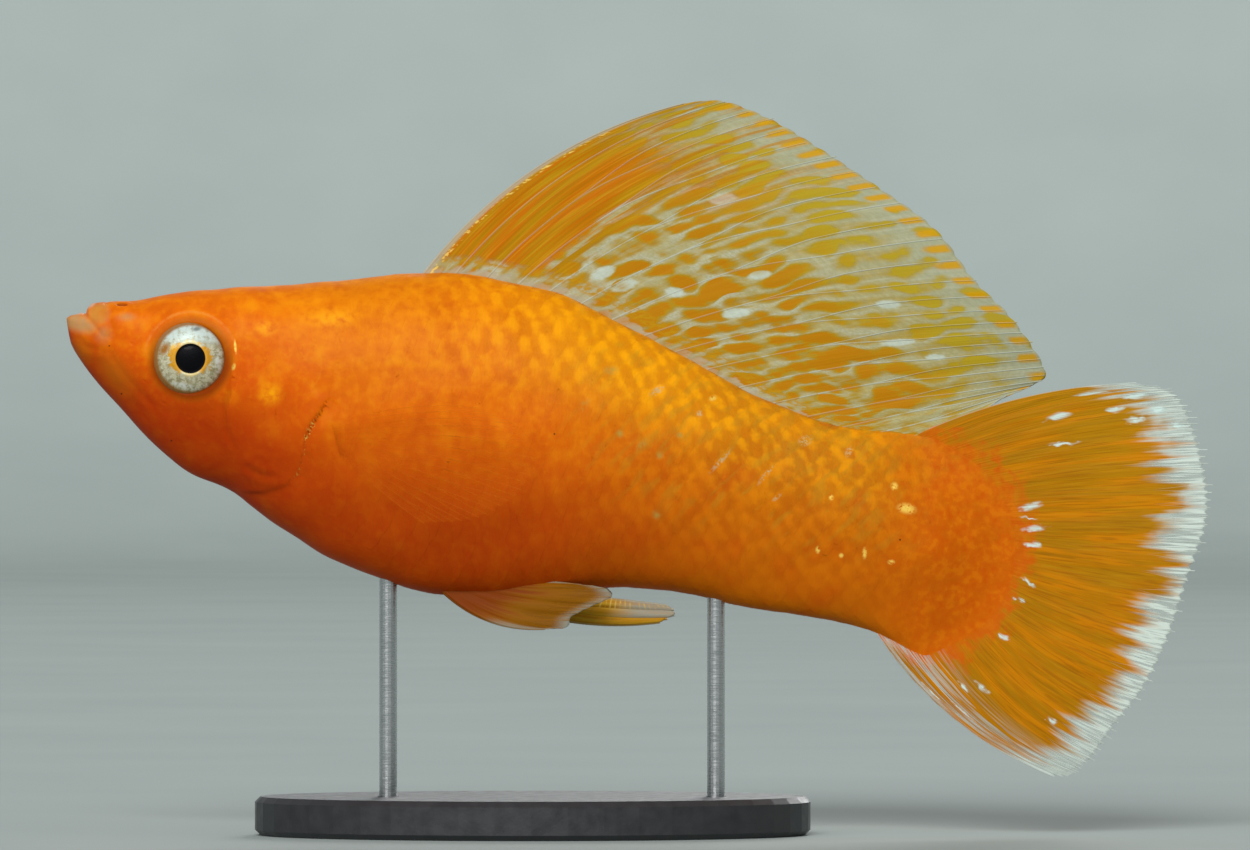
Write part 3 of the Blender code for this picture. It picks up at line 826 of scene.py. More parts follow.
# %% What the whole recipe reads
def flesh_patterns(wires, place):
    """The signals that the flesh's recipe reads. level is 0 at the belly and 1 at the back."""
    along, _, height = place.split()
    slant = (0.0, math.radians(45), 0.0)
    turned = wires.node("ShaderNodeMapping", {"Vector": place, "Rotation": slant})
    return Patterns(
        wires,
        place=place,
        along=along,
        height=height,
        level=wires.attribute("level"),
        fine=place.noise(1.4),
        cloudy=place.noise(0.3),
        patchy=place.noise(0.6),
        oblique=turned.noise((0.35, 0.5, 1.2)),
    )


# %% Ground colours, from the belly (0) to the back (1)
HEAD_TONES = [
    (0, (0.37, 0.031, 0.002)),
    (0.3, (0.4, 0.035, 0.002)),
    (0.6, (0.66, 0.095, 0.002)),
    (0.85, (0.72, 0.138, 0.002)),
    (1, (0.66, 0.15, 0.002)),
]
# The lowest stop is lighter than the next one: painted light that offsets the shade along the belly's lower
# edge.
TRUNK_TONES = [
    (0, (0.5, 0.055, 0.002)),
    (0.12, (0.42, 0.043, 0.002)),
    (0.25, (0.43, 0.046, 0.002)),
    (0.55, (0.66, 0.122, 0.002)),
    (0.8, (0.71, 0.172, 0.002)),
    (1, (0.65, 0.19, 0.002)),
]
# Here too the lowest stop is lighter than the next one: painted light that offsets the shade under the tail
# stem.
REAR_TONES = [
    (0, (0.6, 0.145, 0.002)),
    (0.15, (0.52, 0.115, 0.002)),
    (0.45, (0.48, 0.115, 0.002)),
    (0.75, (0.47, 0.155, 0.003)),
    (1, (0.47, 0.2, 0.006)),
]


def ground_colour(at):
    """The three ramps run together from head to tail, with clouds and fine mottling on them."""
    colour = mix(at.along.rise(16, 28), at.level.ramp(HEAD_TONES), at.level.ramp(TRUNK_TONES))
    above = at.level.rise(0.25, 0.7, 0.12, 1)
    return lay(
        colour,
        (at.along.rise(38, 64), at.level.ramp(REAR_TONES)),
        (at.cloudy.rise(0.48, 0.8, 0, 0.5) * above, (0.82, 0.25, 0.003)),
        (at.cloudy.rise(0.52, 0.2, 0, 0.5), (0.5, 0.065, 0.002)),
        (at.patchy.rise(0.46, 0.85, 0, 0.4) * above, (0.8, 0.28, 0.004)),
        (at.patchy.rise(0.52, 0.2, 0, 0.22), (0.52, 0.08, 0.002)),
        (at.fine.rise(0.48, 0.72, 0, 0.26) * above, (0.82, 0.25, 0.003)),
        (at.fine.rise(0.5, 0.28, 0, 0.22) * above, (0.5, 0.07, 0.002)),
    )


# %% The net of the scales
def scale_net(at):
    """How light and how shaded a place is, by where it lies on its scale."""
    drift = at.wires.join(at.cloudy.rise(0.3, 0.7, -0.3, 0.3), at.patchy.rise(0.3, 0.7, -0.08, 0.08))
    column, row, _ = at.wires.attribute("lattice", 1).vector("ADD", drift).split()
    rounds = (column * math.pi).maths("COSINE") * (row * (2 * math.pi)).maths("COSINE")
    rounds += at.fine.rise(0.3, 0.7, -0.25, 0.25)
    rounds += at.patchy.rise(0.3, 0.7, -0.35, 0.35)
    back = at.level.rise(0.6, 0.82) * at.along.rise(28, 44) * at.along.rise(68, 50, 0.12, 1)
    rear = at.along.rise(42, 56) * at.along.rise(80, 70) * at.level.rise(0.05, 0.35, 0, 0.28)
    strong = back * 0.58 + (at.along.rise(20, 30) * 0.05 + rear)
    return rounds.rise(-0.5, 1.1) * strong, rounds.rise(0.1, -1.2, 0, 0.6) * strong


def scaled_colour(at, colour):
    """The sunny back, and each scale's light middle and shaded edge."""
    glow, shade = scale_net(at)
    sunny = at.along.rise(36, 48) * at.along.rise(66, 52) * at.level.rise(0.55, 0.85, 0, 0.55)
    high = at.level.rise(0.5, 0.78)
    return lay(
        colour,
        (sunny, (0.74, 0.3, 0.003)),
        (glow, mix(high, (0.68, 0.18, 0.003), (0.9, 0.36, 0.003))),
        (shade, mix(high, (0.36, 0.08, 0.002), (0.62, 0.2, 0.004))),
    )


# %% The tail stem, and the patches
def rear_colour(at, colour):
    """Olive in slanting rows on the tail stem, and the ruddy lobe over the tail fin."""
    olive = at.along.rise(40, 54) * at.oblique.rise(0.5, 0.66)
    olive *= at.level.rise(0.2, 0.5) * at.along.rise(84, 74)
    lobe = at.along.rise(71, 79) * at.patchy.rise(0.34, 0.58, 0.5, 1)
    blotchy = at.fine + at.patchy.rise(0.3, 0.7, -0.08, 0.08)
    return lay(
        colour,
        (olive * 0.34, (0.4, 0.21, 0.012)),
        (lobe * 0.85, (0.56, 0.1, 0.002)),
        (lobe * blotchy.rise(0.5, 0.68, 0, 0.55), (0.64, 0.165, 0.003)),
        (lobe * blotchy.rise(0.5, 0.32, 0, 0.45), (0.5, 0.07, 0.001)),
    )


def patch_colour(at, colour):
    yellow = at.place.spots(YELLOW_PATCHES, 0) * at.fine.rise(0.2, 0.65)
    olives = at.place.spots(OLIVE_MARKS, 0) * at.fine.rise(0.3, 0.6)
    return lay(colour, (yellow * 0.95, (0.88, 0.33, 0.004)), (olives * 0.7, (0.36, 0.27, 0.05)))


# %% The mouth, and the ring of skin round the eye
def mouth_colour(at, colour):
    lower_lip = at.place.spots([(1.2, 46.1, 2.6, 1.2, -16)], 0.25)
    upper_lip = at.place.spots([(3.1, 46.9, 1.3, 1.3, 0)], 0.35)
    cheek_pink = at.place.spots([(3.5, 45.1, 1.2, 1.3, 0), (5.6, 46.6, 1.3, 0.6, 0)], 0)
    lips = greatest(lower_lip, upper_lip * 0.9, cheek_pink * 0.55)
    lips *= at.patchy.rise(0.3, 0.55, 0.7, 0.95)
    lip_tone = mix(upper_lip, (0.47, 0.26, 0.105), (0.5, 0.205, 0.03))
    lip_tone = mix(at.fine.rise(0.35, 0.7, 0, 0.4), lip_tone, (0.56, 0.25, 0.05))
    chin = at.place.spots([(1.6, 43.6, 2.4, 1.6, -58), (4.6, 41.6, 4.2, 2.2, -52)], 0)
    whitish = at.place.spots([(2.4, 47.75, 0.8, 0.3, 40), (1.2, 46.95, 1, 0.2, 4)], 0.2)
    return lay(
        colour,
        (lips, lip_tone),
        (chin * 0.42, (0.46, 0.16, 0.006)),
        (whitish * 0.6, (0.6, 0.44, 0.34)),
    )


def eye_rim_colour(at, colour):
    """A duller orange ring of skin, painted shade round the eye that is darkest below it, and a painted
    highlight above: a thin pale line along the top of the ring.
    """
    centre_along, centre_height = EYE_CENTRE
    eye = at.place.vector("SUBTRACT", (centre_along, 0, centre_height))
    eye = eye.vector("MULTIPLY", (1, 0, 1)).length()
    under = at.height.rise(centre_height + 2.5, centre_height - 1.5, 0.35, 0.9)
    over = at.height.rise(centre_height - 0.5, centre_height + 2.5)
    # A painted highlight: a thin pale line on the upper side of the ring, where it catches the light from
    # above.
    painted_highlight_rim = eye.rise(4, 4.15) * eye.rise(4.4, 4.22) * over * at.fine.rise(0.3, 0.6, 0.2, 1)
    return lay(
        colour,
        (eye.rise(4.2, 3.3) * at.patchy.rise(0.2, 0.6, 0.2, 0.55), (0.52, 0.16, 0.004)),
        # Painted shade all round the eye, strongest below it.
        (eye.rise(4.2, 3.25) * under, (0.2, 0.024, 0.001)),
        (painted_highlight_rim * 0.22, (0.74, 0.34, 0.08)),
    )


# %% One recipe for skin and scales
def metal_flecks(at):
    """Where it shines silver, where gold, and where the gold of the gill cover's edge is."""
    # The silver and gold marks and the glints behind the eye are partly painted reflections: bright colours
    # painted where the scales mirror the light, beside a little metal in the finish.
    sparkle = at.place.noise(4.5)
    silver = at.place.spots(SILVER_MARKS, 0.1) * sparkle.rise(0.42, 0.58)
    gold = at.place.spots(GOLD_MARKS, 0.1) * sparkle.rise(0.35, 0.5)
    glint = at.place.spots(GLINTS, 0.2) * sparkle.rise(0.3, 0.42)
    gill_gold = at.wires.attribute("glitter") * at.place.noise(4.6, 0).rise(0.5, 0.6)
    return silver, greatest(gold, glint, gill_gold), gill_gold


def flesh_colour(wires, place):
    """The fish's colour at a place, how much it shines like metal, and its fine noise."""
    at = flesh_patterns(wires, place)
    colour = ground_colour(at)
    for step in (scaled_colour, rear_colour, patch_colour, mouth_colour):
        colour = step(at, colour)
    silver, shining, gill_gold = metal_flecks(at)
    colour = lay(colour, (silver * 0.75, (0.52, 0.42, 0.22)), (shining, (0.92, 0.6, 0.1)))
    # Painted shade: the creases, the gape, the nostrils and the pores are darkened.
    crease = wires.attribute("crease") * (1 - gill_gold)
    colour = lay(
        eye_rim_colour(at, colour),
        (crease.rise(0.05, 0.95, 0, 0.75), (0.24, 0.034, 0.002)),
        (place.spots(DARK_SPECKS, 0.5), (0.06, 0.018, 0.004)),
    )
    return colour, greatest(silver * 0.5, shining * 0.5), at.fine


# %% The skin's finish
flesh, wires = new_material("flesh")
place = wires.place()
colour, shine, fine = flesh_colour(wires, place)
wear(
    flesh,
    base_color=colour,
    roughness=shine.rise(0, 1, 0.4, 0.2),
    metallic=shine * 0.4,
    specular_ior_level=0.03,
    normal=(place.cells(2.6) * 0.4 + fine).bump(0.00002),
)
print("flesh nodes:", len(flesh.node_tree.nodes))


def glitter(along, height):
    """1 along the middle of the gill cover's free edge, where gold cells line it."""
    distance, share, side = beside(GILL_EDGE, along, height)
    ahead = np.where(side < 0, distance, -distance)
    near = hump(ahead + 0.08, 0.10)
    return near * smooth_step(0.12, 0.22, share) * smooth_step(0.68, 0.40, share)


store(skin_mesh, "glitter", glitter(skin_points[:, 0], skin_points[:, 2]))
skin = add_piece("skin", skin_mesh, flesh)
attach(skin, "root")
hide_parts(*FLESH_NODES)

# %% [markdown]
# ## Geometry Nodes from a script
#
# A node tree is made with named inputs, put on a carrier mesh as a modifier, and its result is
# copied out as a plain mesh. Then the carrier is thrown away.


# %% Trees with named inputs
def new_tree(name, **inputs):
    """A Geometry Nodes tree, its wires and its inputs. inputs gives each one's kind by name."""
    tree = bpy.data.node_groups.new(name, "GeometryNodeTree")
    for label, kind in (("Geometry", "Geometry"), *inputs.items()):
        tree.interface.new_socket(label, in_out="INPUT", socket_type="NodeSocket" + kind)
    tree.interface.new_socket("Geometry", in_out="OUTPUT", socket_type="NodeSocketGeometry")
    wires = Wires(tree)
    group = wires.node("NodeGroupInput").node
    given = {label: Signal(wires, group, label) for label in ("Geometry", *inputs)}
    return tree, wires, given


def stored(wires, name, kind="FLOAT_VECTOR"):
    """An attribute of the mesh, as a Geometry Nodes tree reads it."""
    return wires.node("GeometryNodeInputNamedAttribute", {"Name": name}, data_type=kind)


def store_in_tree(wires, mesh, name, value, **settings):
    inputs = {"Geometry": mesh, "Name": name, "Value": value}
    return wires.node("GeometryNodeStoreNamedAttribute", inputs, **settings)


def end_tree(wires, instances, material, dress=lambda mesh: mesh):
    """Makes instances real, dresses the mesh, sets its material and ends the tree."""
    real = wires.node("GeometryNodeRealizeInstances", {"Geometry": instances})
    inputs = {"Geometry": dress(real), "Material": material}
    finished = wires.node("GeometryNodeSetMaterial", inputs)
    wires.node("NodeGroupOutput", {"Geometry": finished})


def grown_mesh(name, carrier_mesh, tree, values):
    """Runs the tree on a carrier mesh with these input values and returns the plain result."""
    carrier = bpy.data.objects.new(name + "_carrier", carrier_mesh)
    scene.collection.objects.link(carrier)
    modifier = carrier.modifiers.new("Nodes", "NODES")
    modifier.node_group = tree
    for item in tree.interface.items_tree:
        if item.in_out == "INPUT" and item.name in values:
            modifier[item.identifier] = values[item.name]
    graph = bpy.context.evaluated_depsgraph_get()
    made = bpy.data.meshes.new_from_object(
        carrier.evaluated_get(graph), preserve_all_data_layers=True, depsgraph=graph
    )
    bpy.data.objects.remove(carrier)
    made.name = name
    return made


def mesh_points(mesh):
    points = np.empty(len(mesh.vertices) * 3, np.float32)
    mesh.vertices.foreach_get("co", points)
    return points.reshape(-1, 3).astype(float)


def set_points(mesh, points):
    mesh.vertices.foreach_set("co", np.asarray(points, np.float32).ravel())
    mesh.update()


# %% [markdown]
# ## The coat of scales
#
# A molly's scales lie like roof tiles: each one is rooted under the scale ahead, its rounded
# rear edge is free, and every second column is shifted by half a scale. Such a lattice is simplest
# while the hide is flat. So the scales are laid out on a flat sheet by Geometry Nodes, one small
# domed plate on each root point, and the sheet is then wrapped round the body through the skin's
# own grid. They are smallest on the cheeks and leave the eye, the mouth and the gill slit free.

# %% One scale's plate
FLAT_ROUND = 70.0
BAKE_PATCH = 0.003
scale_tree, wires, given = new_tree(
    "scales_on_a_flat_sheet",
    Thickness="Float",
    Dome="Float",
    Roundness="Float",
    Patch="Float",
    Material="Material",
)
grid = wires.node("GeometryNodeMeshGrid", {"Vertices X": 4, "Vertices Y": 7})
x, y, _ = wires.node("GeometryNodeInputPosition").split()
lengthwise = x + 0.5
across = y * 2
petal = wires.join(across, lengthwise)
marked = store_in_tree(wires, grid, "petal", petal, data_type="FLOAT_VECTOR")
squared = across * across
dome = (1 - squared) * given["Dome"]
shaped = wires.join(
    lengthwise - squared * lengthwise * given["Roundness"],
    across * lengthwise.rise(0, 0.75, 0.6, 1),
    lengthwise + dome * lengthwise,
)
under = wires.node("GeometryNodeSetPosition", {"Geometry": marked, "Position": shaped})
upward = wires.join(0, 0, given["Thickness"])
shell_inputs = {"Mesh": under, "Offset": upward, "Individual": False}
shell = wires.node("GeometryNodeExtrudeMesh", shell_inputs)
flipped = wires.node("GeometryNodeFlipFaces", {"Mesh": under})
both = wires.node("GeometryNodeJoinGeometry", {0: [flipped, shell]})
plate = wires.node("GeometryNodeMergeByDistance", {0: both, "Distance": 0.0001})


# %% A plate on every root, each with its own patch of the UV map
def with_bake_map(mesh):
    inputs = {0: stored(wires, "petal"), "Scale": given["Patch"] * 0.5}
    half_patch = wires.node("ShaderNodeVectorMath", inputs, operation="SCALE")
    bake_place = stored(wires, "root_map").vector("ADD", half_patch)
    return store_in_tree(wires, mesh, "OFBake", bake_place, data_type="FLOAT2", domain="CORNER")


placed = wires.node(
    "GeometryNodeInstanceOnPoints",
    {"Points": given["Geometry"], "Instance": plate, "Scale": stored(wires, "size")},
)
end_tree(wires, placed, given["Material"], with_bake_map)
print("nodes of the scale tree:", len(scale_tree.nodes))


# %% Where the roots lie, and how big each scale is
def skin_at(along, turn, lift):
    """Places on the skin. turn is 0 at the back, 1 at the belly and 2 at the back again."""
    ring = np.interp(along, ring_along, np.arange(len(ring_along)))
    around = np.mod(turn, 2.0) * HALF_POINTS
    i = np.clip(np.floor(ring).astype(int), 0, len(ring_along) - 2)
    j = np.floor(around).astype(int)
    u = (ring - i)[:, None]
    v = (around - j)[:, None]
    j, k = j % (2 * HALF_POINTS), (j + 1) % (2 * HALF_POINTS)

    def blend(table):
        ahead = table[i, j] * (1 - v) + table[i, k] * v
        behind = table[i + 1, j] * (1 - v) + table[i + 1, k] * v
        return ahead * (1 - u) + behind * u

    # Scales stand off along the smooth body's normals, so that none stands up at a fold.
    normal = blend(body_normals)
    normal /= np.linalg.norm(normal, axis=1, keepdims=True)
    return blend(skin_grid) + normal * lift[:, None]


def scale_size(along, height):
    """(share of the full size, lift in mm) of a scale that is rooted at this place."""
    gill = beside(GILL_EDGE, along, height)
    ahead_of_gill = (gill[2] < 0) & (along < 24.0)
    head = smooth_step(27.0, 21.0, along)
    head = np.maximum(head, np.where(ahead_of_gill, 1.0, 0.0))
    lobe = smooth_step(64.0, 82.0, along)
    throat = smooth_step(0.25, 0.0, body_level(along, height)) * smooth_step(40, 30, along)
    small = 1 - 0.28 * head - 0.35 * lobe - 0.15 * throat
    lift = 0.045 * (1 - 0.45 * head - 0.70 * lobe - 0.3 * throat)
    return small, lift


def bare(along, height):
    """True where no scale grows."""
    eye = np.hypot(along - EYE_CENTRE[0], height - EYE_CENTRE[1])
    distance, share, side = beside(GILL_EDGE, along, height)
    on_slit = (distance < 1.1) & (share < 0.99) & (side > 0)
    across_slit = (distance < 2.3) & (side < 0) & (share < 0.99)
    base = np.hypot((along - 24.6) / 0.8, (height - 35.5) / 2.0)
    face = along < 11.5 + 0.9 * np.abs(height - 44.5)
    return (eye < 6.0) | on_slit | across_slit | (base < 1.0) | face


# %% Roots, sizes and places on the UV map
SCALE_LENGTH = 3.3
SCALE_WIDTH = 0.74 / ROWS * FLAT_ROUND
ROOT_BACK = 1.2
ROOT_SUNK = -0.03
LAST_COLUMN = 82.5
scatter = np.random.default_rng(7)
roots, sizes, root_maps, tones = [], [], [], []
column = 0
start = FIRST_COLUMN
while start < LAST_COLUMN:
    turns = (np.arange(ROWS) + 0.5 * (column % 2)) * 2.0 / ROWS
    here = np.full(len(turns), start)
    places = skin_at(here, turns, np.zeros(len(turns)))
    small, lift = scale_size(here, places[:, 2])
    for turn, place, less, rise_by in zip(turns, places, small, lift):
        if bare(np.array([place[0] + ROOT_BACK]), np.array([place[2]]))[0]:
            continue
        roots.append((start - ROOT_BACK, turn / 2 * FLAT_ROUND, ROOT_SUNK))
        wide = SCALE_WIDTH * (0.9 + 0.1 * less)
        sizes.append((SCALE_LENGTH * (0.75 + 0.25 * less), wide, rise_by))
        root_maps.append((0.03 + start / 92, 0.03 + turn / 2 * 0.9, 0))
        tones.append(scatter.uniform(0, 1))
    column += 1
    start += COLUMN_GAP
roots = np.array(roots)
print("scales:", len(roots))


# %% The scales' finish
scales_finish, wires = new_material("scales")
colour, shine, fine = flesh_colour(wires, wires.place())
_, lengthwise, _ = wires.attribute("petal", 1).split()
tone = wires.attribute("tone")
unlike = wires.attribute("level").rise(0.2, 0.7, 0.3, 1)
growth_lines = (lengthwise * 60).maths("SINE")
wear(
    scales_finish,
    base_color=lay(
        colour,
        (tone.rise(0.4, 1, 0, 0.08) * unlike, (0.86, 0.29, 0.004)),
        (tone.rise(0.6, 0, 0, 0.06) * unlike, (0.5, 0.09, 0.002)),
    ),
    roughness=shine.rise(0, 1, 0.42, 0.2),
    metallic=shine * 0.4,
    specular_ior_level=0.035,
    normal=(growth_lines * 0.1 + fine).bump(0.00002),
)
print("scale nodes:", len(scales_finish.node_tree.nodes))


# %% Grow them flat, then wrap the sheet round the fish
COAT_PARTING = 38.0
SHARP_EDGE = math.radians(50)


def wrapped(flat):
    """Bends a flat sheet of scales round the body. Returns the places of its points."""
    along = np.clip(flat[:, 0], ring_along[0], ring_along[-1])
    places = skin_at(along, flat[:, 1] * 2 / FLAT_ROUND, flat[:, 2])
    places[:, 0] += flat[:, 0] - along
    return places


values = {
    "Thickness": 0.35,
    "Dome": 0.35,
    "Roundness": 0.34,
    "Patch": BAKE_PATCH,
    "Material": scales_finish,
}
coat_triangles = 0
for word, wanted in (("front", roots[:, 0] < COAT_PARTING), ("rear", roots[:, 0] >= COAT_PARTING)):
    root_mesh = new_mesh("roots_" + word, roots[wanted], [])
    for label, table in (("size", sizes), ("root_map", root_maps), ("tone", tones)):
        store(root_mesh, label, np.array(table)[wanted])
    coat_mesh = grown_mesh("scales_" + word, root_mesh, scale_tree, values)
    flat = mesh_points(coat_mesh)
    places = wrapped(flat)
    set_points(coat_mesh, metres(places))
    store(coat_mesh, "level", body_level(places[:, 0], places[:, 2]))
    store(coat_mesh, "lattice", lattice(flat[:, 0], flat[:, 1] * 2 / FLAT_ROUND))
    for label in ("crease", "glitter"):
        store(coat_mesh, label, np.zeros(len(places)))
    coat = add_piece("scales_" + word, coat_mesh, scales_finish)
    coat_mesh.set_sharp_from_angle(angle=SHARP_EDGE)
    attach(coat, "root")
    coat_triangles += sum(len(face.vertices) - 2 for face in coat_mesh.polygons)
print("coat triangles:", coat_triangles)

# %% [markdown]
# ## The eyes
#
# A fish has no lids. Its eye is a flattened ball with a wide silver iris, a thin gold ring round a
# round black pupil, and a clear front that shines. One turned shape with a shallow pit for the
# pupil does this well, because the gloss lies in the finish: a thin clear coat, with the shine
# on the upper iris painted as highlights.

# %% Turned eyeballs
EYE_RADIUS = 3.5
EYE_DEPTH = 2.3
EYE_OUT = 3.75
PUPIL = 1.34
PIT = 0.10


def eyeball(name, side):
    """A closed, slightly pitted ball whose axis points out of the head."""
    rings, around = 72, 64
    angle = np.linspace(0, math.pi, rings + 1)[1:-1]
    spin = np.linspace(0, 2 * math.pi, around, endpoint=False)
    radius = np.sin(angle) * EYE_RADIUS
    out = np.cos(angle) * EYE_DEPTH
    outer = out > 0
    pit = smooth_step(PUPIL + 0.08, PUPIL - 0.12, radius) * PIT
    rim = 0.05 * hump(radius - PUPIL - 0.2, 0.16)
    out = out + np.where(outer, rim - pit, 0.0)
    places = np.empty((len(angle), around, 3))
    places[..., 0] = EYE_CENTRE[0] + radius[:, None] * np.cos(spin)
    places[..., 1] = side * (EYE_OUT + out[:, None])
    places[..., 2] = EYE_CENTRE[1] + radius[:, None] * np.sin(spin)
    tip = (EYE_CENTRE[0], side * (EYE_OUT + EYE_DEPTH - PIT), EYE_CENTRE[1])
    root = (EYE_CENTRE[0], side * (EYE_OUT - EYE_DEPTH), EYE_CENTRE[1])
    points, faces = closed_tube(places, tip, root)
    mesh = new_mesh(name, metres(points), faces)
    if mesh.polygons[10 * around].normal.y * side < 0:
        mesh.flip_normals()
    return mesh


print("each eye stands out to", round(EYE_OUT + EYE_DEPTH, 2), "mm")



# %% The eye's finish
eye_finish, wires = new_material("eye")
place = wires.place()
flat = place.vector("SUBTRACT", (EYE_CENTRE[0], 0, EYE_CENTRE[1])).vector("MULTIPLY", (1, 0, 1))
radius = flat.length()
x, _, z = flat.split()
speckle, grain = flat.noise(2.4), flat.noise(6)
painted_sheen = place.spots([(10.9, 40.4, 1.7, 0.35, -14), (13.9, 42.6, 0.4, 1.5, 0)], 0.2)
smudge = place.spots([(12, 45.5, 0.62, 0.3, 10)], 0.2)
tan = place.spots([(9.1, 43.7, 0.95, 0.6, 55)], 0.2)
yolk = place.spots([(9.9, 43.85, 0.5, 0.35, 50)], 0.1)
iris = lay(
    mix(speckle.rise(0.32, 0.6), (0.29, 0.25, 0.13), (0.54, 0.5, 0.33)),
    (grain.rise(0.46, 0.66, 0, 0.6), (0.68, 0.66, 0.5)),
    (flat.noise(1.1).rise(0.5, 0.34, 0, 0.5), (0.28, 0.23, 0.1)),
    # Painted highlights: the upper iris is lighter and bluer, and two sheen spots shine, as the light's
    # reflection on the eye's clear front.
    (z.rise(0.9, 2) * speckle.rise(0.3, 0.55, 0.35, 0.9), (0.56, 0.66, 0.62)),
    (painted_sheen * speckle.rise(0.35, 0.6), (0.66, 0.67, 0.58)),
    (smudge * 0.8, (0.14, 0.15, 0.14)),
    (tan * speckle.rise(0.3, 0.55, 0.4, 0.95), (0.33, 0.12, 0.01)),
    (yolk * 0.8, (0.8, 0.44, 0.02)),
)
sideways = abs(x) / greatest(radius, 0.2)
ring_edge = radius - sideways.rise(0.5, 0.95, 0, 0.3) + speckle.rise(0.3, 0.7, -0.22, 0.22)
ring_tone = mix(sideways.rise(0.3, 0.8), (0.74, 0.56, 0.22), (0.66, 0.3, 0.012))
pale_ring = radius.rise(1.36, 1.42) * radius.rise(1.56, 1.46)
pale_ring *= sideways.rise(0.9, 0.4) * speckle.rise(0.35, 0.6, 0.1, 0.7)
wear(
    eye_finish,
    base_color=lay(
        iris,
        (ring_edge.rise(1.72, 1.42) * 0.95, ring_tone),
        (pale_ring, (0.84, 0.78, 0.5)),
        # A dark rim at the iris's edge: partly the eye's own colour, partly painted shade where the eye
        # sinks into its socket.
        (radius.rise(2.78, 3.08, 0, 0.9), (0.3, 0.115, 0.01)),
        (radius.rise(PUPIL + 0.03, PUPIL - 0.02), (0.002, 0.002, 0.003)),
    ),
    roughness=0.4,
    metallic=radius.rise(PUPIL, PUPIL + 0.2) * 0.15,
    specular_ior_level=0.05,
    coat_weight=0.04,
    coat_roughness=0.05,
    normal=grain.bump(0.000015),
)
for word, side in (("left", -1), ("right", 1)):
    eye = add_piece("eyeball_" + word, eyeball("eyeball_" + word, side), eye_finish)
    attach(eye, "root")
    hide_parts("eye_" + word)
print("eye nodes:", len(eye_finish.node_tree.nodes))

# %% [markdown]
# ## Fins: webs and rays
#
# A fin is a fan. Each ray leaves the body, bends, and forks on its way to the margin, and a thin
# web fills the space between. A fan is written here as one function of two shares: across, from
# the first ray to the last, and out, from the root to the margin. The web is a closed thin sheet
# through that function, and the rays are tubes that Geometry Nodes draw along it.

# %% Fans as functions
FIN_GAP = 0.35


def bend_of(root, tip, bulge):
    """The bend that puts the ray's middle this far off the straight line, to its left."""
    run = tip - root
    length = np.linalg.norm(run, axis=-1, keepdims=True)
    left = np.stack([-run[..., 1], run[..., 0]], axis=-1) / length
    return (root + tip) / 2 + left * np.asarray(bulge)[..., None] * 2


def ray_curve(root, bend, tip, t):
    t = np.asarray(t)[..., None]
    return root * (1 - t) ** 2 + 2 * bend * t * (1 - t) + tip * t * t


ROOT_SHARE = 0.08


def sunk(places, out, sink):
    """Where a fan goes on below its root, it turns along sink, into the body."""
    deeper = np.clip(-out / ROOT_SHARE, 0, 1)[..., None]
    return places + deeper * np.asarray(sink)


def even(across):
    return np.asarray(across, float)


def middle_fan(root_at, margin, bulges, wave, pleats, fold, sink=(0, 0, 0), spread=even):
    """A fan on the middle plane. pleats is how many rays fold it, by fold mm to each side.

    bulges are (across, bulge) points. spread says at which share of the margin a ray ends.
    """
    margin_at = line_through(margin)
    bulge_at = height_curve(bulges)

    def at(across, out):
        across, out = np.broadcast_arrays(np.asarray(across, float), np.asarray(out, float))
        root, tip = root_at(across), margin_at(spread(across))
        bend = bend_of(root, tip, bulge_at(across))
        flat = ray_curve(root, bend, tip, np.maximum(out, 0) if any(sink) else out)
        swing = wave * np.sin(2 * np.pi * (1.3 * across + 0.1))
        aside = swing * (0.4 * out * (1 - out) + out * out)
        crinkle = fold * np.cos(2 * np.pi * pleats * across) * np.clip(out * 3, 0, 1)
        crinkle = crinkle * (1 - 0.6 * np.clip(out, 0, 1))
        places = np.stack([flat[..., 0], aside + crinkle, flat[..., 1]], axis=-1)
        return sunk(places, out, sink)

    return at


def sail_root(across):
    along = between(32.6, 75.4, across)
    lower = 0.7 * smooth_step(0.55, 1.0, across)
    return np.stack([along, back_height(along) + FIN_GAP - lower], axis=-1)


def tail_path():
    """The tail fin's root: round the end of the body and a little along the belly."""
    reach = BODY_LENGTH - TAIL_ROUND_START + FIN_GAP
    rise_by = back_height(TAIL_ROUND_START) - TAIL_MIDDLE + FIN_GAP
    path = []
    for step in range(13):
        angle = math.pi * (0.5 - step / 12)
        along = TAIL_ROUND_START + reach * math.cos(angle)
        path.append((along, TAIL_MIDDLE + rise_by * math.sin(angle)))
    path.append((73.4, belly_height(73.4) - FIN_GAP))
    return path


# %% The sail's fan and the tail's
SAIL_MARGIN = [
    (56.2, 66), (59.2, 66.2), (62.3, 65.2), (66.1, 63.2), (74.1, 57.9), (78.7, 54.4), (82, 50),
    (85.5, 46.4), (88.4, 41.9), (87.2, 40.5), (84.4, 39.5),
]
TAIL_MARGIN = [
    (97, 40.7), (100.6, 39.7), (102.2, 36.7), (103.3, 31.6), (103.2, 27.9), (101.5, 23.2), (99.8, 18),
    (97.6, 13.3), (94.7, 9.5), (92.4, 6.3), (89.6, 5),
]
SAIL_RAYS = 16
TAIL_RAYS = 18
SAIL_BULGES = [(0.0, 2.4), (0.55, 0.9), (0.85, 0.1), (1.0, -0.7)]
TAIL_BULGES = [(0.0, 1.0), (1.0, -1.6)]
SAIL_SPREAD = [(0.0, 0.0), (0.2, 0.23), (0.27, 0.34), (0.59, 0.79), (1.0, 1.0)]
TAIL_SPREAD = [
    (0.0, 0.0), (0.346, 0.335), (0.424, 0.436), (0.518, 0.575), (0.6, 0.7), (0.68, 0.82),
    (0.74, 0.89), (0.82, 0.95), (1.0, 1.0),
]
sail_spread = height_curve(SAIL_SPREAD)
tail_spread = height_curve(TAIL_SPREAD)
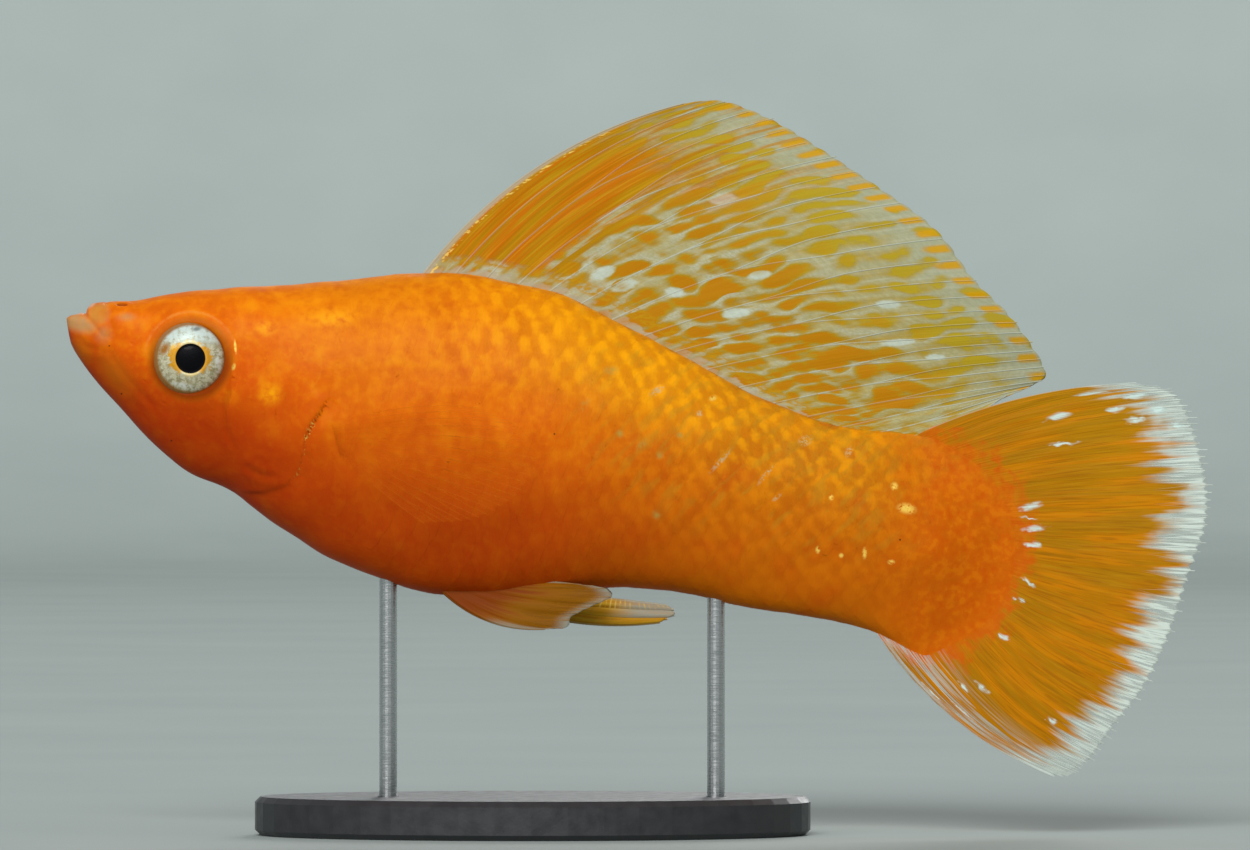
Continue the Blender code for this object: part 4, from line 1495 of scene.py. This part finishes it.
sail_fan = middle_fan(
    sail_root, SAIL_MARGIN, SAIL_BULGES, 0.9, SAIL_RAYS - 1, 0.04, spread=sail_spread
)
tail_root = line_through(tail_path())
tail_fan = middle_fan(
    tail_root, TAIL_MARGIN, TAIL_BULGES, 0.7, TAIL_RAYS - 1, 0.03, spread=tail_spread
)
print("the sail's last ray ends at", sail_fan(1.0, 1.0).round(1))


# %% The web of a fin
def fin_web(name, fan, columns, rows, start, reach, thickness, spread=even, buried=False):
    """A closed thin sheet. reach gives where each column ends, and thickness (root, margin).

    A buried root gets thinner again under the skin, so that no step shows where it comes out.
    """
    across = np.linspace(0, 1, columns)[:, None]
    out = start + (reach(across) - start) * np.linspace(0, 1, rows)[None, :]
    across, out = np.broadcast_arrays(across, out)
    places = fan(across, out)
    centre = (columns // 2, rows // 2)
    normals = grid_normals(places, False, centre)
    half = between(*thickness, np.clip(out, 0, 1))[..., None] / 2
    if buried:
        half = half * between(0.08, 1.0, smooth_step(0.35 * start, 0.05, out))[..., None]
    here = np.arange(columns * rows).reshape(columns, rows)
    far = here + columns * rows
    quads = [
        np.stack([here[:-1, :-1], here[1:, :-1], here[1:, 1:], here[:-1, 1:]], axis=-1),
        np.stack([far[:-1, :-1], far[:-1, 1:], far[1:, 1:], far[1:, :-1]], axis=-1),
    ]
    for edge in (here[:, 0], here[-1, :], here[::-1, -1], here[0, ::-1]):
        beyond = edge + columns * rows
        quads.append(np.stack([edge[:-1], beyond[:-1], beyond[1:], edge[1:]], axis=-1))
    faces = np.concatenate([q.reshape(-1, 4) for q in quads])
    layers = [places + normals * half, places - normals * half]
    points = np.concatenate([layer.reshape(-1, 3) for layer in layers])
    mesh = new_mesh(name, metres(points), faces)
    middle = mesh.polygons[centre[0] * (rows - 1) + centre[1]]
    if middle.normal.dot(normals[centre]) < 0:
        mesh.flip_normals()
    shares = np.stack([across, out, spread(across)], axis=-1).reshape(-1, 3)
    store(mesh, "ray_map", np.concatenate([shares, shares]))
    return mesh


def scalloped(tips, depth, least, spread=even):
    """A margin that dips between the tips of the rays."""

    def reach(across):
        return least - depth * (0.5 + 0.5 * np.cos(2 * np.pi * tips * spread(across))) ** 2

    return reach


# %% Rays as tubes, by Geometry Nodes
ray_tree, wires, given = new_tree("tubes_along_rays", Sides="Int", Material="Material")
lines = wires.node("GeometryNodeMeshToCurve", {"Mesh": given["Geometry"]})
ring_inputs = {"Resolution": given["Sides"], "Radius": 1.0}
tube_inputs = {
    "Curve": lines,
    "Profile Curve": wires.node("GeometryNodeCurvePrimitiveCircle", ring_inputs),
    "Scale": stored(wires, "stoutness", "FLOAT"),
    "Fill Caps": True,
}
end_tree(wires, wires.node("GeometryNodeCurveToMesh", tube_inputs), given["Material"])
print("nodes of the ray tree:", len(ray_tree.nodes))


# %% The paths of the rays
def branches(forks, start):
    """(turns, where it begins) of each branch. turns says which way it goes at each fork."""
    leaves = [[]]
    for _ in forks:
        leaves = [leaf + [turn] for leaf in leaves for turn in (-1, 1)]
    found = []
    for leaf in leaves:
        begin = start
        for level, turn in enumerate(leaf):
            if turn > 0 and all(later < 0 for later in leaf[level + 1:]):
                begin = forks[level]
        found.append((leaf, begin))
    return found


def ray_paths(fan, ends, forks, start, stout, steps, unforked=(), segments=0.0, spread=even):
    """Points, edges, thickness and shares of every ray. A branch leaves its stem in a soft curve.

    ends says how far out the branches of each ray reach, and stout gives (root, tip).
    """
    gap = 1.0 / (len(ends) - 1)
    points, edges, widths, shares = [], [], [], []
    for i, reaches in enumerate(ends):
        levels = [] if i in unforked else forks
        for number, (leaf, begin) in enumerate(branches(levels, start)):
            out = np.linspace(begin, reaches[number % len(reaches)], steps)
            across = np.full(steps, i * gap)
            swing = 0.25 * gap
            for fork, turn in zip(levels, leaf):
                across = across + turn * swing * smooth_step(fork, fork + 0.36, out)
                swing /= 2
            across = np.clip(across, 0, 1)
            width = between(*stout, np.clip(out, 0, 1) ** 0.7)
            width = width * (1 + segments * np.where(np.arange(steps) % 2, 1, -1))
            first = len(points)
            points.extend(fan(across, out))
            widths.extend(width)
            shares.extend(np.stack([across, out, spread(across)], axis=-1))
            edges.extend((first + k, first + k + 1) for k in range(steps - 1))
    return np.array(points), edges, np.array(widths), np.array(shares)


# %% A fin out of its web and its rays
def fin_rays(name, material, sides=6, **how):
    """The rays of one fin as one mesh of tubes."""
    points, edges, widths, shares = ray_paths(**how)
    lines = bpy.data.meshes.new(name + "_lines")
    lines.from_pydata(metres(points).tolist(), edges, [])
    store(lines, "stoutness", widths * MM)
    store(lines, "ray_map", shares)
    return grown_mesh(name, lines, ray_tree, {"Sides": sides, "Material": material})


def make_fin(node, names, fan, finishes, web, rays, spread=even):
    """Adds a fin's web and rays in place of its solid. web and rays say how each is made."""
    meshes = (
        fin_web(names[0], fan, spread=spread, **web),
        fin_rays(names[1], finishes[1], fan=fan, spread=spread, **rays),
    )
    for word, mesh, finish in zip(("_web", "_rays"), meshes, finishes):
        points = mesh_points(mesh) / MM + (STAND_ALONG, 0, 0)
        store(mesh, "level", body_level(points[:, 0], points[:, 2]))
        piece = add_piece(node + word, mesh, finish)
        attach(piece, "root")
        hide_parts(node)
    print(node, "faces:", [len(mesh.polygons) for mesh in meshes])


# %% Finishes of webs and rays
def fin_finish(name, colours, pale=None):
    """A finish from a function that gives a fin's colours. Rays are paler, and webs as they are."""
    material, wires = new_material(name)
    colour, solid, streaks, painted = colours(wires)
    if pale:
        colour = mix(painted.rise(0.2, 0.9, 0.65, 0.25), colour, pale)
        solid = solid.rise(0.3, 0.9, 0.75, 1)
        bumps = wires.place().noise(5, 1).bump(0.00002)
    else:
        bumps = streaks.bump(0.00005)
    wear(
        material, base_color=colour, alpha=solid, roughness=0.45, specular_ior_level=0.03, normal=bumps
    )
    return material


def both_finishes(name, colours, pale):
    return fin_finish(name + "_web", colours), fin_finish(name + "_rays", colours, pale)


# %% [markdown]
# ## The sail's colours
#
# The front of the sail is solid gold orange, streaked along the rays. Behind that the web is clear
# and milky, with golden blotches in rows between the rays: round near the back, long and thin
# towards the margin. A pale fold runs along its foot, and each ray ends in an orange tick.


# %% Sail paint
SAIL_TICKS = 26
# Painted highlights: pale blue-white patches between the blotches, as (across, out, half length, half
# width, turn).
SAIL_HIGHLIGHTS = [
    (0.48, 0.253, 0.017, 0.065, 0), (0.62, 0.58, 0.015, 0.08, 0), (0.52, 0.668, 0.016, 0.055, 0),
    (0.42, 0.418, 0.013, 0.055, 0), (0.677, 0.648, 0.016, 0.05, 0), (0.4, 0.183, 0.02, 0.036, 0),
    (0.345, 0.11, 0.02, 0.06, 0), (0.3, 0.118, 0.02, 0.06, 0), (0.27, 0.59, 0.016, 0.06, 0),
]


def sail_patterns(wires):
    """The signals that the sail's recipe reads. spread is the share of the margin's length."""
    shares = wires.attribute("ray_map", 1)
    across, out, spread = shares.split()
    flat = shares.vector("MULTIPLY", (42, 27, 0))
    return Patterns(
        wires,
        shares=shares,
        across=across,
        out=out,
        spread=spread,
        flat=flat,
        warp=flat.noise(0.3),
        grain=flat.noise(2.2),
        streaks=shares.noise((85, 3, 1), 3),
        hairs=shares.noise((190, 4, 1)),
    )


# %% Blotches in rows along the rays
def rows_of_marks(at, position, rows, length, taper, seed):
    """Marks in rows along the rays: above 0 inside a mark. length is in shares of a ray."""
    line = position * rows + at.flat.noise(0.22, 0.5).rise(0.25, 0.75, -0.35, 0.35)
    aside = abs(line.maths("FRACT") - 0.5) * 2
    spot = at.wires.join(line.maths("FLOOR") * seed, at.out / length)
    return spot.noise(1, 0.6) - 0.5 - aside * aside * taper


def sail_blotches(at):
    """Above 0 inside a blotch. They are round near the back, and long towards the margin."""
    rearward = at.across.rise(0.68, 0.84)
    blots = rows_of_marks(at, at.across, 27, 0.066, 0.24, 7.31)
    dashes = rows_of_marks(at, at.spread, SAIL_TICKS, 0.092, 0.28, 5.77) * (1 - rearward)
    dashes += rows_of_marks(at, at.spread, SAIL_TICKS, 0.17, 0.26, 3.19) * rearward
    far = (at.out + at.across * 0.35).rise(0.42, 0.6)
    pattern = (blots + 0.065) * (1 - far) + (dashes + 0.075) * far
    pattern += at.grain.rise(0.3, 0.7, -0.018, 0.018)
    pattern += at.warp.rise(0.3, 0.7, -0.03, 0.03)
    pattern += at.shares.noise((120, 13, 1)).rise(0.3, 0.7, -0.04, 0.04)
    pattern += at.out.rise(0.82, 0.92, 0, -0.13)
    dense = at.across.rise(0.3, 0.65) * at.out.rise(0.75, 0.45, 0, 0.035)
    return pattern + dense * at.across.rise(0.94, 0.82, -0.6, 1)


# %% The milky web, and its blotches
def sail_milk(at, pattern):
    """The clear, milky web, and where it is white."""
    silver = at.out.rise(0.75, 0.4) * at.across.rise(0.9, 0.6) * at.warp.rise(0.35, 0.6, 0.2, 1)
    white = silver * pattern.rise(0.01, -0.08)
    milk = lay(
        mix(at.warp.rise(0.35, 0.65), (0.41, 0.34, 0.12), (0.4, 0.36, 0.17)),
        (at.grain.rise(0.42, 0.7, 0, 0.5), (0.45, 0.42, 0.24)),
        (at.out.rise(0.6, 0.95, 0, 0.7), (0.37, 0.395, 0.27)),
        (at.hairs.rise(0.5, 0.66, 0, 0.4), (0.5, 0.48, 0.33)),
        (white * at.flat.noise(5, 1).rise(0.35, 0.65, 0.35, 0.9), (0.5, 0.51, 0.38)),
    )
    return milk, white


def sail_blotched(at, pattern, milk):
    """The web with its blotches, painted highlights in pale gaps between them, and where it is golden."""
    highlight_gap = at.wires.join(at.across, 0, at.out).spots(SAIL_HIGHLIGHTS, 0)
    highlight_gap = (highlight_gap + at.grain.rise(0.3, 0.7, -0.06, 0.06)).rise(0.05, 0.6)
    pattern -= highlight_gap * 0.3
    golden = pattern.rise(-0.09, 0.07)
    ochre = mix(at.streaks.rise(0.35, 0.65), (0.41, 0.21, 0.002), (0.41, 0.255, 0.005))
    ochre = mix(at.out.rise(0.35, 0.8, 0, 0.75), ochre, (0.42, 0.315, 0.012))
    colour = lay(
        milk,
        # A painted highlight over each gap.
        (highlight_gap * 0.8, (0.54, 0.61, 0.52)),
        (pattern.rise(-0.22, -0.03, 0, 0.4) * at.out.rise(0.9, 0.8), (0.42, 0.27, 0.02)),
        (golden * 0.94, ochre),
        (pattern.rise(0.02, 0.13) * at.out.rise(0.8, 0.35) * 0.75, (0.47, 0.165, 0.002)),
    )
    return colour, golden


# %% The sail's front and its edges
def sail_front(at):
    """Where the front is gold orange, and its tone."""
    worn = at.out.rise(0.52, 0.84) * at.streaks.rise(0.66, 0.5) * at.across.rise(0.01, 0.06)
    ragged = at.across + at.streaks.rise(0.3, 0.7, -0.028, 0.028) + at.out * 0.045
    front = ragged.rise(0.25, 0.215) * (1 - worn * 0.95) * at.out.rise(0.02, 0.06)
    upper = ragged.rise(0.42, 0.24) * at.out.rise(0.4, 0.62)
    upper *= at.streaks.rise(0.44, 0.54) * worn.rise(0.2, 0.9, 0.85, 0.3)
    gold = lay(
        mix(at.streaks.rise(0.32, 0.66), (0.43, 0.215, 0.003), (0.52, 0.135, 0.001)),
        (at.out.rise(0.35, 0.95, 0, 0.7), (0.46, 0.25, 0.005)),
        (at.hairs.rise(0.5, 0.36, 0, 0.35), (0.3, 0.145, 0.003)),
        (at.hairs.rise(0.52, 0.68, 0, 0.35), (0.6, 0.33, 0.015)),
    )
    return greatest(front, upper), gold


def sail_edges(at):
    """Where the golden band, the ticks at the rays' ends and the pale foot are."""
    band = at.out.rise(0.012, 0.03) * at.out.rise(0.085, 0.05) * at.grain.rise(0.4, 0.58, 0.1, 0.9)
    beside_tick = abs((at.spread * SAIL_TICKS).maths("FRACT") - 0.5)
    ragged = at.out + beside_tick * -0.05 + at.warp.rise(0.35, 0.65, -0.015, 0.015)
    tick = beside_tick.rise(0.33, 0.12) * ragged.rise(0.9, 0.93) * at.out.rise(0.992, 0.972)
    uneven = at.flat.noise(0.9).rise(0.3, 0.7, -0.014, 0.012)
    foot = (at.out + uneven).rise(0.008, -0.004) * at.warp.rise(0.35, 0.6, 0.25, 1)
    return band, tick, foot


# %% The sail's recipe
def sail_colour(wires):
    """The sail's colour, how solid it is, its fine streaks, and where it is painted."""
    at = sail_patterns(wires)
    pattern = sail_blotches(at)
    milk, white = sail_milk(at, pattern)
    colour, golden = sail_blotched(at, pattern, milk)
    front, gold = sail_front(at)
    band, tick, foot = sail_edges(at)
    dots = abs(at.across - 0.016).rise(0.007, 0.002)
    dots *= at.grain.rise(0.5, 0.6) * at.out.rise(0.75, 0.65)
    front_edge = at.across.rise(0.016, 0.006)
    colour = lay(
        colour,
        (band, (0.46, 0.24, 0.006)),
        (front, gold),
        (tick * 0.95, (0.56, 0.29, 0.004)),
        (foot * 0.8, (0.41, 0.38, 0.27)),
        (front_edge * 0.8, (0.44, 0.38, 0.26)),
        (dots * 0.8, (0.84, 0.6, 0.14)),
    )
    painted = greatest(golden, front, tick, foot, band)
    milky = at.grain.rise(0.3, 0.7, 0.8, 0.93)
    return colour, greatest(milky, painted * 0.985, white * 0.92), at.streaks, painted


# %% The sail
scatter = np.random.default_rng(11)
make_fin(
    "dorsal_fin",
    ("sail_web", "sail_rays"),
    sail_fan,
    both_finishes("sail", sail_colour, (0.40, 0.43, 0.37)),
    web={
        "columns": 301,
        "rows": 72,
        "start": -0.05,
        "reach": scalloped(SAIL_TICKS, 0.006, 0.99, sail_spread),
        "thickness": (0.18, 0.03),
    },
    rays={
        "ends": scatter.uniform(0.975, 1.0, (SAIL_RAYS, 2)),
        "forks": [0.32],
        "start": -0.03,
        "stout": (0.135, 0.055),
        "steps": 40,
        "unforked": (0, 1),
    },
    spread=sail_spread,
)

# %% [markdown]
# ## The tail's colours
#
# The tail fin is golden for four fifths of the way, with jagged streaks where the gold ends, and
# clear with fine white ray tips beyond. Small blue-white highlights are painted at its root and in
# the gold.

# %% Tail paint
# Painted highlights, as (across, out, half length, half width, turn).
TAIL_GLEAMS = [
    (0.333, 0.055, 0.011, 0.075, 4), (0.362, 0.035, 0.006, 0.045, -6), (0.388, 0.06, 0.01, 0.08, 3),
    (0.43, 0.04, 0.01, 0.06, 0), (0.522, 0.045, 0.01, 0.06, -5), (0.57, 0.03, 0.006, 0.04, 0),
    (0.667, 0.068, 0.009, 0.045, 8), (0.79, 0.228, 0.008, 0.06, 0), (0.825, 0.19, 0.008, 0.05, 0),
    (0.74, 0.638, 0.008, 0.055, 0), (0.968, 0.278, 0.006, 0.09, 0), (0.905, 0.36, 0.006, 0.11, 0),
    (0.11, 0.42, 0.013, 0.075, 3), (0.185, 0.35, 0.007, 0.08, -3), (0.045, 0.68, 0.01, 0.1, 0),
    (0.118, 0.66, 0.01, 0.05, 0), (0.15, 0.72, 0.012, 0.05, 0), (0.085, 0.8, 0.014, 0.06, 0),
    (0.13, 0.84, 0.014, 0.07, 0), (0.17, 0.9, 0.012, 0.05, 0),
]


def tail_patterns(wires):
    """The signals that the tail's recipe reads."""
    shares = wires.attribute("ray_map", 1)
    across, out, _ = shares.split()
    return Patterns(
        wires,
        shares=shares,
        across=across,
        out=out,
        streaks=shares.noise((150, 2.6, 1), 3),
        fibres=shares.noise((330, 5, 1), 1),
        warp=shares.noise((16, 6, 1)),
    )


def tail_edge(at):
    """The share of the way out, moved to and fro so that the gold ends in jagged streaks."""
    line = at.across * 23 + at.shares.noise((11, 0, 1), 1).rise(0.3, 0.7, -0.8, 0.8)
    edge = at.out + abs(line.maths("FRACT") - 0.5) * 0.24
    edge += at.shares.noise((46, 0.3, 1)).rise(0.28, 0.72, -0.08, 0.08)
    return edge + at.streaks.rise(0.25, 0.75, -0.05, 0.05)


def tail_gleams(at):
    """Where small blue-white highlights are painted."""
    tremble = at.shares.noise((70, 22, 1))
    to_and_fro = tremble.rise(0.3, 0.7, -0.003, 0.003)
    shaken = at.wires.join(to_and_fro, 0, tremble.rise(0.7, 0.3, -0.02, 0.02))
    upright = at.wires.join(at.across, 0, at.out).vector("ADD", shaken)
    return upright.spots(TAIL_GLEAMS, 0.2) * at.fibres.rise(0.3, 0.5, 0.25, 1)


# %% The tail's gold, which runs over into the flesh at its root
def tail_orange(at):
    bundles = at.shares.noise((52, 1.6, 1))
    flesh_tone, _, fine = flesh_colour(at.wires, at.wires.place())
    # Towards the lower lobe the root is mixed halfway to a darker red: partly the lobe's ruddy colour,
    # partly painted shade that carries on the shade of the lobe's underside.
    flesh_tone = mix(at.across.rise(0.35, 0.6, 0, 0.5), flesh_tone, (0.53, 0.11, 0.002))
    root = at.out + at.warp.rise(0.3, 0.7, -0.05, 0.05) + fine.rise(0.3, 0.7, -0.04, 0.04)
    return lay(
        mix(at.streaks.rise(0.25, 0.75), (0.4, 0.165, 0.002), (0.43, 0.15, 0.001)),
        (at.out.rise(0.15, 0.55) * at.across.rise(0.55, 0.15) * 0.6, (0.42, 0.21, 0.003)),
        (at.warp.rise(0.52, 0.68, 0, 0.35), (0.48, 0.155, 0.002)),
        (bundles.rise(0.5, 0.66, 0, 0.6), (0.62, 0.2, 0.001)),
        (bundles.rise(0.5, 0.34, 0, 0.5), (0.34, 0.16, 0.003)),
        (at.fibres.rise(0.46, 0.32, 0, 0.45), (0.26, 0.088, 0.002)),
        (at.fibres.rise(0.54, 0.7, 0, 0.35), (0.52, 0.235, 0.004)),
        (root.rise(0.08, -0.05), flesh_tone),
    )


def tail_colour(wires):
    """The tail fin's colour, how solid it is, its fine streaks, and where it is painted."""
    at = tail_patterns(wires)
    edge = tail_edge(at)
    low = at.across.rise(0.78, 0.92) * at.streaks.rise(0.54, 0.44)
    gold = edge.rise(0.96, 0.77) * (1 - low * 0.8)
    fringe = edge.rise(0.74, 0.88) * edge.rise(1, 0.9)
    whites = fringe * at.warp.rise(0.46, 0.6) * at.across.rise(0.6, 0.2, 0.15, 1)
    painted_gleam = tail_gleams(at)
    colour = lay(
        mix(at.fibres.rise(0.42, 0.58), (0.46, 0.52, 0.46), (0.68, 0.76, 0.68)),
        (gold, tail_orange(at)),
        (whites * 0.6, (0.6, 0.68, 0.62)),
        (painted_gleam * 0.9, (0.6, 0.76, 0.72)),
    )
    threads = at.fibres.rise(0.42, 0.6, 0.26, 0.66) * at.across.rise(0.6, 0.85, 1, 0.65)
    solid = greatest(threads, gold.rise(0, 1, 0.3, 0.96), painted_gleam * 0.95, whites * 0.7)
    return colour, solid, at.streaks, gold


# %% The tail fin
make_fin(
    "tail_fin",
    ("tail_web", "tail_rays"),
    tail_fan,
    both_finishes("tail", tail_colour, (0.55, 0.61, 0.55)),
    web={
        "columns": 409,
        "rows": 70,
        "start": -0.3,
        "reach": scalloped(68, 0.02, 0.965),
        "thickness": (0.3, 0.03),
        "buried": True,
    },
    rays={
        "ends": scatter.uniform(0.965, 1.0, (TAIL_RAYS, 4)),
        "forks": [0.3, 0.62],
        "start": 0.02,
        "stout": (0.1, 0.045),
        "steps": 34,
        "unforked": (0, TAIL_RAYS - 1),
    },
)

# %% [markdown]
# ## The paired fins and the gonopodium
#
# The pectoral fin is a clear orange fan against the flank, seen mostly by its rays. The pelvic fins
# are small and lie along the belly. The male's anal fin is a stout rod of a few jointed rays.

# %% Fans that stand off the body
PECTORAL_ROOT = ((24.5, 37.0), (25.3, 34.1))
PECTORAL_MARGIN = [(37.6, 38.4), (41.5, 36.5), (42.8, 33.7), (41, 30.5), (37, 28.4), (32.5, 28.1)]
PELVIC_ROOT = ((33.6, 22.3), (37.8, 22.5))
PELVIC_MARGIN = [
    (43.3, 18.6), (45.4, 18.8), (45.6, 19.6), (47.2, 20.5), (49.3, 21.5), (48.6, 22.3), (46, 22.6)
]


def paired_fan(side, root_line, root_out, margin, bulges, flare, pleats, fold, sink):
    """A fan that leaves the body at the flare angle, in degrees."""
    margin_at = line_through(margin)
    slope = math.tan(math.radians(flare))
    first, last = np.array(root_line)

    def at(across, out):
        across, out = np.broadcast_arrays(np.asarray(across, float), np.asarray(out, float))
        root = first + (last - first) * across[..., None]
        tip = margin_at(across)
        bend = bend_of(root, tip, between(*bulges, across))
        ahead = np.maximum(out, 0)
        flat = ray_curve(root, bend, tip, ahead)
        reach = np.linalg.norm(tip - root, axis=-1) * slope
        begin = root_out(root[..., 0], root[..., 1])
        aside = begin + reach * (1.2 * ahead * (1 - ahead) + ahead * ahead)
        crinkle = fold * np.cos(2 * np.pi * pleats * across) * np.clip(ahead * 3, 0, 1)
        places = np.stack([flat[..., 0], side * (aside + crinkle), flat[..., 1]], axis=-1)
        return sunk(places, out, (sink[0], side * sink[1], sink[2]))

    return at


def beside_flank(along, height):
    return flank(along, height) + 0.45


def beside_belly(along, height):
    return np.full_like(along, 1.25)


# %% Finishes of the paired fins
def clear_fin_colour(rays, warm, pale, least, most, root_tone=None, margin_at=(0.72, 0.97), clearing=1.0):
    """Returns a function that paints a clear fin: warm at its root and pale at its margin.

    clearing is how much of its solidness the fin keeps towards its margin.
    """

    def colours(wires):
        shares = wires.attribute("ray_map", 1)
        across, out, _ = shares.split()
        streaks = shares.noise((rays * 5, 2.5, 1), 3)
        sides = greatest(across.rise(0.14, 0.02), across.rise(0.92, 0.99)) * out.rise(0.42, 0.7)
        margin = greatest(out.rise(*margin_at), sides * 0.8) * streaks.rise(0.3, 0.6, 0.55, 1)
        colour = mix(streaks.rise(0.3, 0.7), warm, tuple(part * 0.75 for part in warm))
        solid = streaks.rise(0.3, 0.7, least, most) * out.rise(0.45, 0.85, 1, clearing)
        solid = greatest(solid, margin * (most * clearing))
        if root_tone:
            rooted = (out + streaks.rise(0.3, 0.7, -0.1, 0.1)).rise(0.65, 0.25)
            colour = mix(rooted, colour, root_tone)
            solid = greatest(solid, out.rise(0.2, 0, 0, most))
        return mix(margin * 0.8, colour, pale), solid, streaks, 1 - margin

    return colours


pectoral_colour = clear_fin_colour(8, (0.66, 0.120, 0.002), (0.68, 0.16, 0.006), 0.03, 0.06)
# The warm and root tones of the pelvic fins are partly painted shade: they are as dark as the fins look in
# the shadow under the fish.
pelvic_colour = clear_fin_colour(
    6, (0.29, 0.105, 0.003), (0.33, 0.37, 0.31), 0.95, 0.998, (0.19, 0.036, 0.002), (0.84, 1.0), 0.66
)
pelvic_finishes = both_finishes("pelvic", pelvic_colour, (0.24, 0.11, 0.012))
pectoral_ray_finish, wires = new_material("pectoral_rays")
_, out, _ = wires.attribute("ray_map", 1).split()
wear(
    pectoral_ray_finish,
    base_color=mix(out.rise(0, 1), (0.66, 0.13, 0.002), (0.7, 0.19, 0.006)),
    alpha=out.rise(0.05, 0.5, 0.01, 0.09),
    roughness=0.42,
    specular_ior_level=0.05,
)
pectoral_finishes = (fin_finish("pectoral_web", pectoral_colour), pectoral_ray_finish)
print("finishes of the paired fins:", [finish.name for finish in pectoral_finishes + pelvic_finishes])

# %% The pectoral and pelvic fins
PECTORAL_RAYS = 14
PELVIC_RAYS = 6
BURIED_WEB = {"rows": 40, "start": -0.08, "buried": True}
pectoral_web = {"columns": 105, "reach": scalloped(26, 0.02, 0.98), "thickness": (0.12, 0.03)}
pelvic_web = {"columns": 61, "reach": scalloped(10, 0.01, 0.985), "thickness": (0.7, 0.03)}
for word, side in (("left", -1), ("right", 1)):
    make_fin(
        "pectoral_fin_" + word,
        ("pectoral_web_" + word, "pectoral_rays_" + word),
        paired_fan(
            side, PECTORAL_ROOT, beside_flank, PECTORAL_MARGIN, (0.8, -0.3), 11.0, 13, 0.04, (-0.9, -1.1, 0)
        ),
        pectoral_finishes,
        web={**BURIED_WEB, **pectoral_web},
        rays={
            "ends": scatter.uniform(0.97, 1.0, (PECTORAL_RAYS, 2)),
            "forks": [0.55],
            "start": -0.08,
            "stout": (0.08, 0.035),
            "steps": 26,
            "unforked": (0, PECTORAL_RAYS - 1),
        },
    )
    make_fin(
        "pelvic_fin_" + word,
        ("pelvic_web_" + word, "pelvic_rays_" + word),
        paired_fan(
            side, PELVIC_ROOT, beside_belly, PELVIC_MARGIN, (-1.2, 0.3), 11.5, 5, 0.03, (-0.8, -0.3, 1.6)
        ),
        pelvic_finishes,
        web={**BURIED_WEB, **pelvic_web},
        rays={
            "ends": np.full((PELVIC_RAYS, 1), 0.985),
            "forks": [0.5],
            "start": -0.08,
            "stout": (0.2, 0.06),
            "steps": 30,
            "unforked": (0,),
        },
    )


# %% The gonopodium
def belly_root(across):
    along = between(39.4, 43.4, across)
    return np.stack([along, belly_height(along) - FIN_GAP], axis=-1)


def rod_colour(wires):
    """Golden below and pale above, with fine joints across the rays."""
    shares = wires.attribute("ray_map", 1)
    across, out, _ = shares.split()
    streaks = shares.noise((14, 3, 1))
    joints = (out * 170).maths("SINE").rise(0.2, 0.9) * out.rise(0.25, 0.4)
    joints *= shares.noise((6, 30, 1)).rise(0.4, 0.6)
    pale = out.rise(0.5, 0.78) * across.rise(0.25, 0.5) * streaks.rise(0.3, 0.6, 0.55, 1)
    colour = lay(
        mix(streaks.rise(0.35, 0.65), (0.4, 0.18, 0.006), (0.48, 0.26, 0.016)),
        (out.rise(0.3, 0), (0.28, 0.06, 0.002)),
        (pale * 0.85, (0.36, 0.36, 0.31)),
        (joints * across.rise(0.55, 0.8) * 0.55, (0.8, 0.54, 0.14)),
        (joints * 0.2, (0.42, 0.26, 0.05)),
    )
    return colour, pale.rise(0, 1, 0.96, 0.72), streaks, 1 - pale


ROD_MARGIN = [(53.6, 19.2), (55.1, 20.0), (54.2, 20.6)]
ROD_BULGES = [(0.0, -0.9), (1.0, 0.2)]
ROD_RAYS = 5
rod_fan = middle_fan(belly_root, ROD_MARGIN, ROD_BULGES, 0.0, 3, 0.10, (-0.3, 0, 1.3))
make_fin(
    "gonopodium",
    ("gonopodium_web", "gonopodium_rays"),
    rod_fan,
    both_finishes("gonopodium", rod_colour, (0.34, 0.34, 0.27)),
    web={
        "columns": 41,
        "rows": 60,
        "start": -0.08,
        "reach": scalloped(3, 0.02, 0.985),
        "thickness": (1.0, 0.3),
    },
    rays={
        "sides": 8,
        "ends": np.full((ROD_RAYS, 1), 0.99),
        "forks": [],
        "start": -0.08,
        "stout": (0.36, 0.14),
        "steps": 90,
        "segments": 0.03,
    },
)

# %% [markdown]
# ## The display stand
#
# The fish swims, so the model needs something to hold it: a low oval base and two thin rods. Their
# solids are already right. They only get a finish: satin black lacquer, and brushed steel.

# %% Stand finishes
lacquer, wires = new_material("stand_lacquer")
place = wires.place()
dust = place.noise(0.8, 4)
wear(
    lacquer,
    base_color=mix(dust, (0.012, 0.012, 0.014), (0.028, 0.028, 0.03)),
    roughness=dust.rise(0.3, 0.7, 0.36, 0.48),
    normal=place.noise(3, 3).bump(0.00001),
)
steel, wires = new_material("brushed_rod")
brushed = wires.place().noise((1, 1, 14))
wear(
    steel,
    base_color=mix(brushed, (0.52, 0.53, 0.54), (0.66, 0.66, 0.67)),
    roughness=brushed.rise(0.3, 0.7, 0.22, 0.36),
    metallic=1.0,
    normal=brushed.bump(0.00001),
)
for node, finish in (("stand_base", lacquer), ("stand_rod_front", steel), ("stand_rod_rear", steel)):
    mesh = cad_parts[node].data
    mesh.materials.clear()
    mesh.materials.append(finish)
print("stand finishes:", lacquer.name, steel.name)
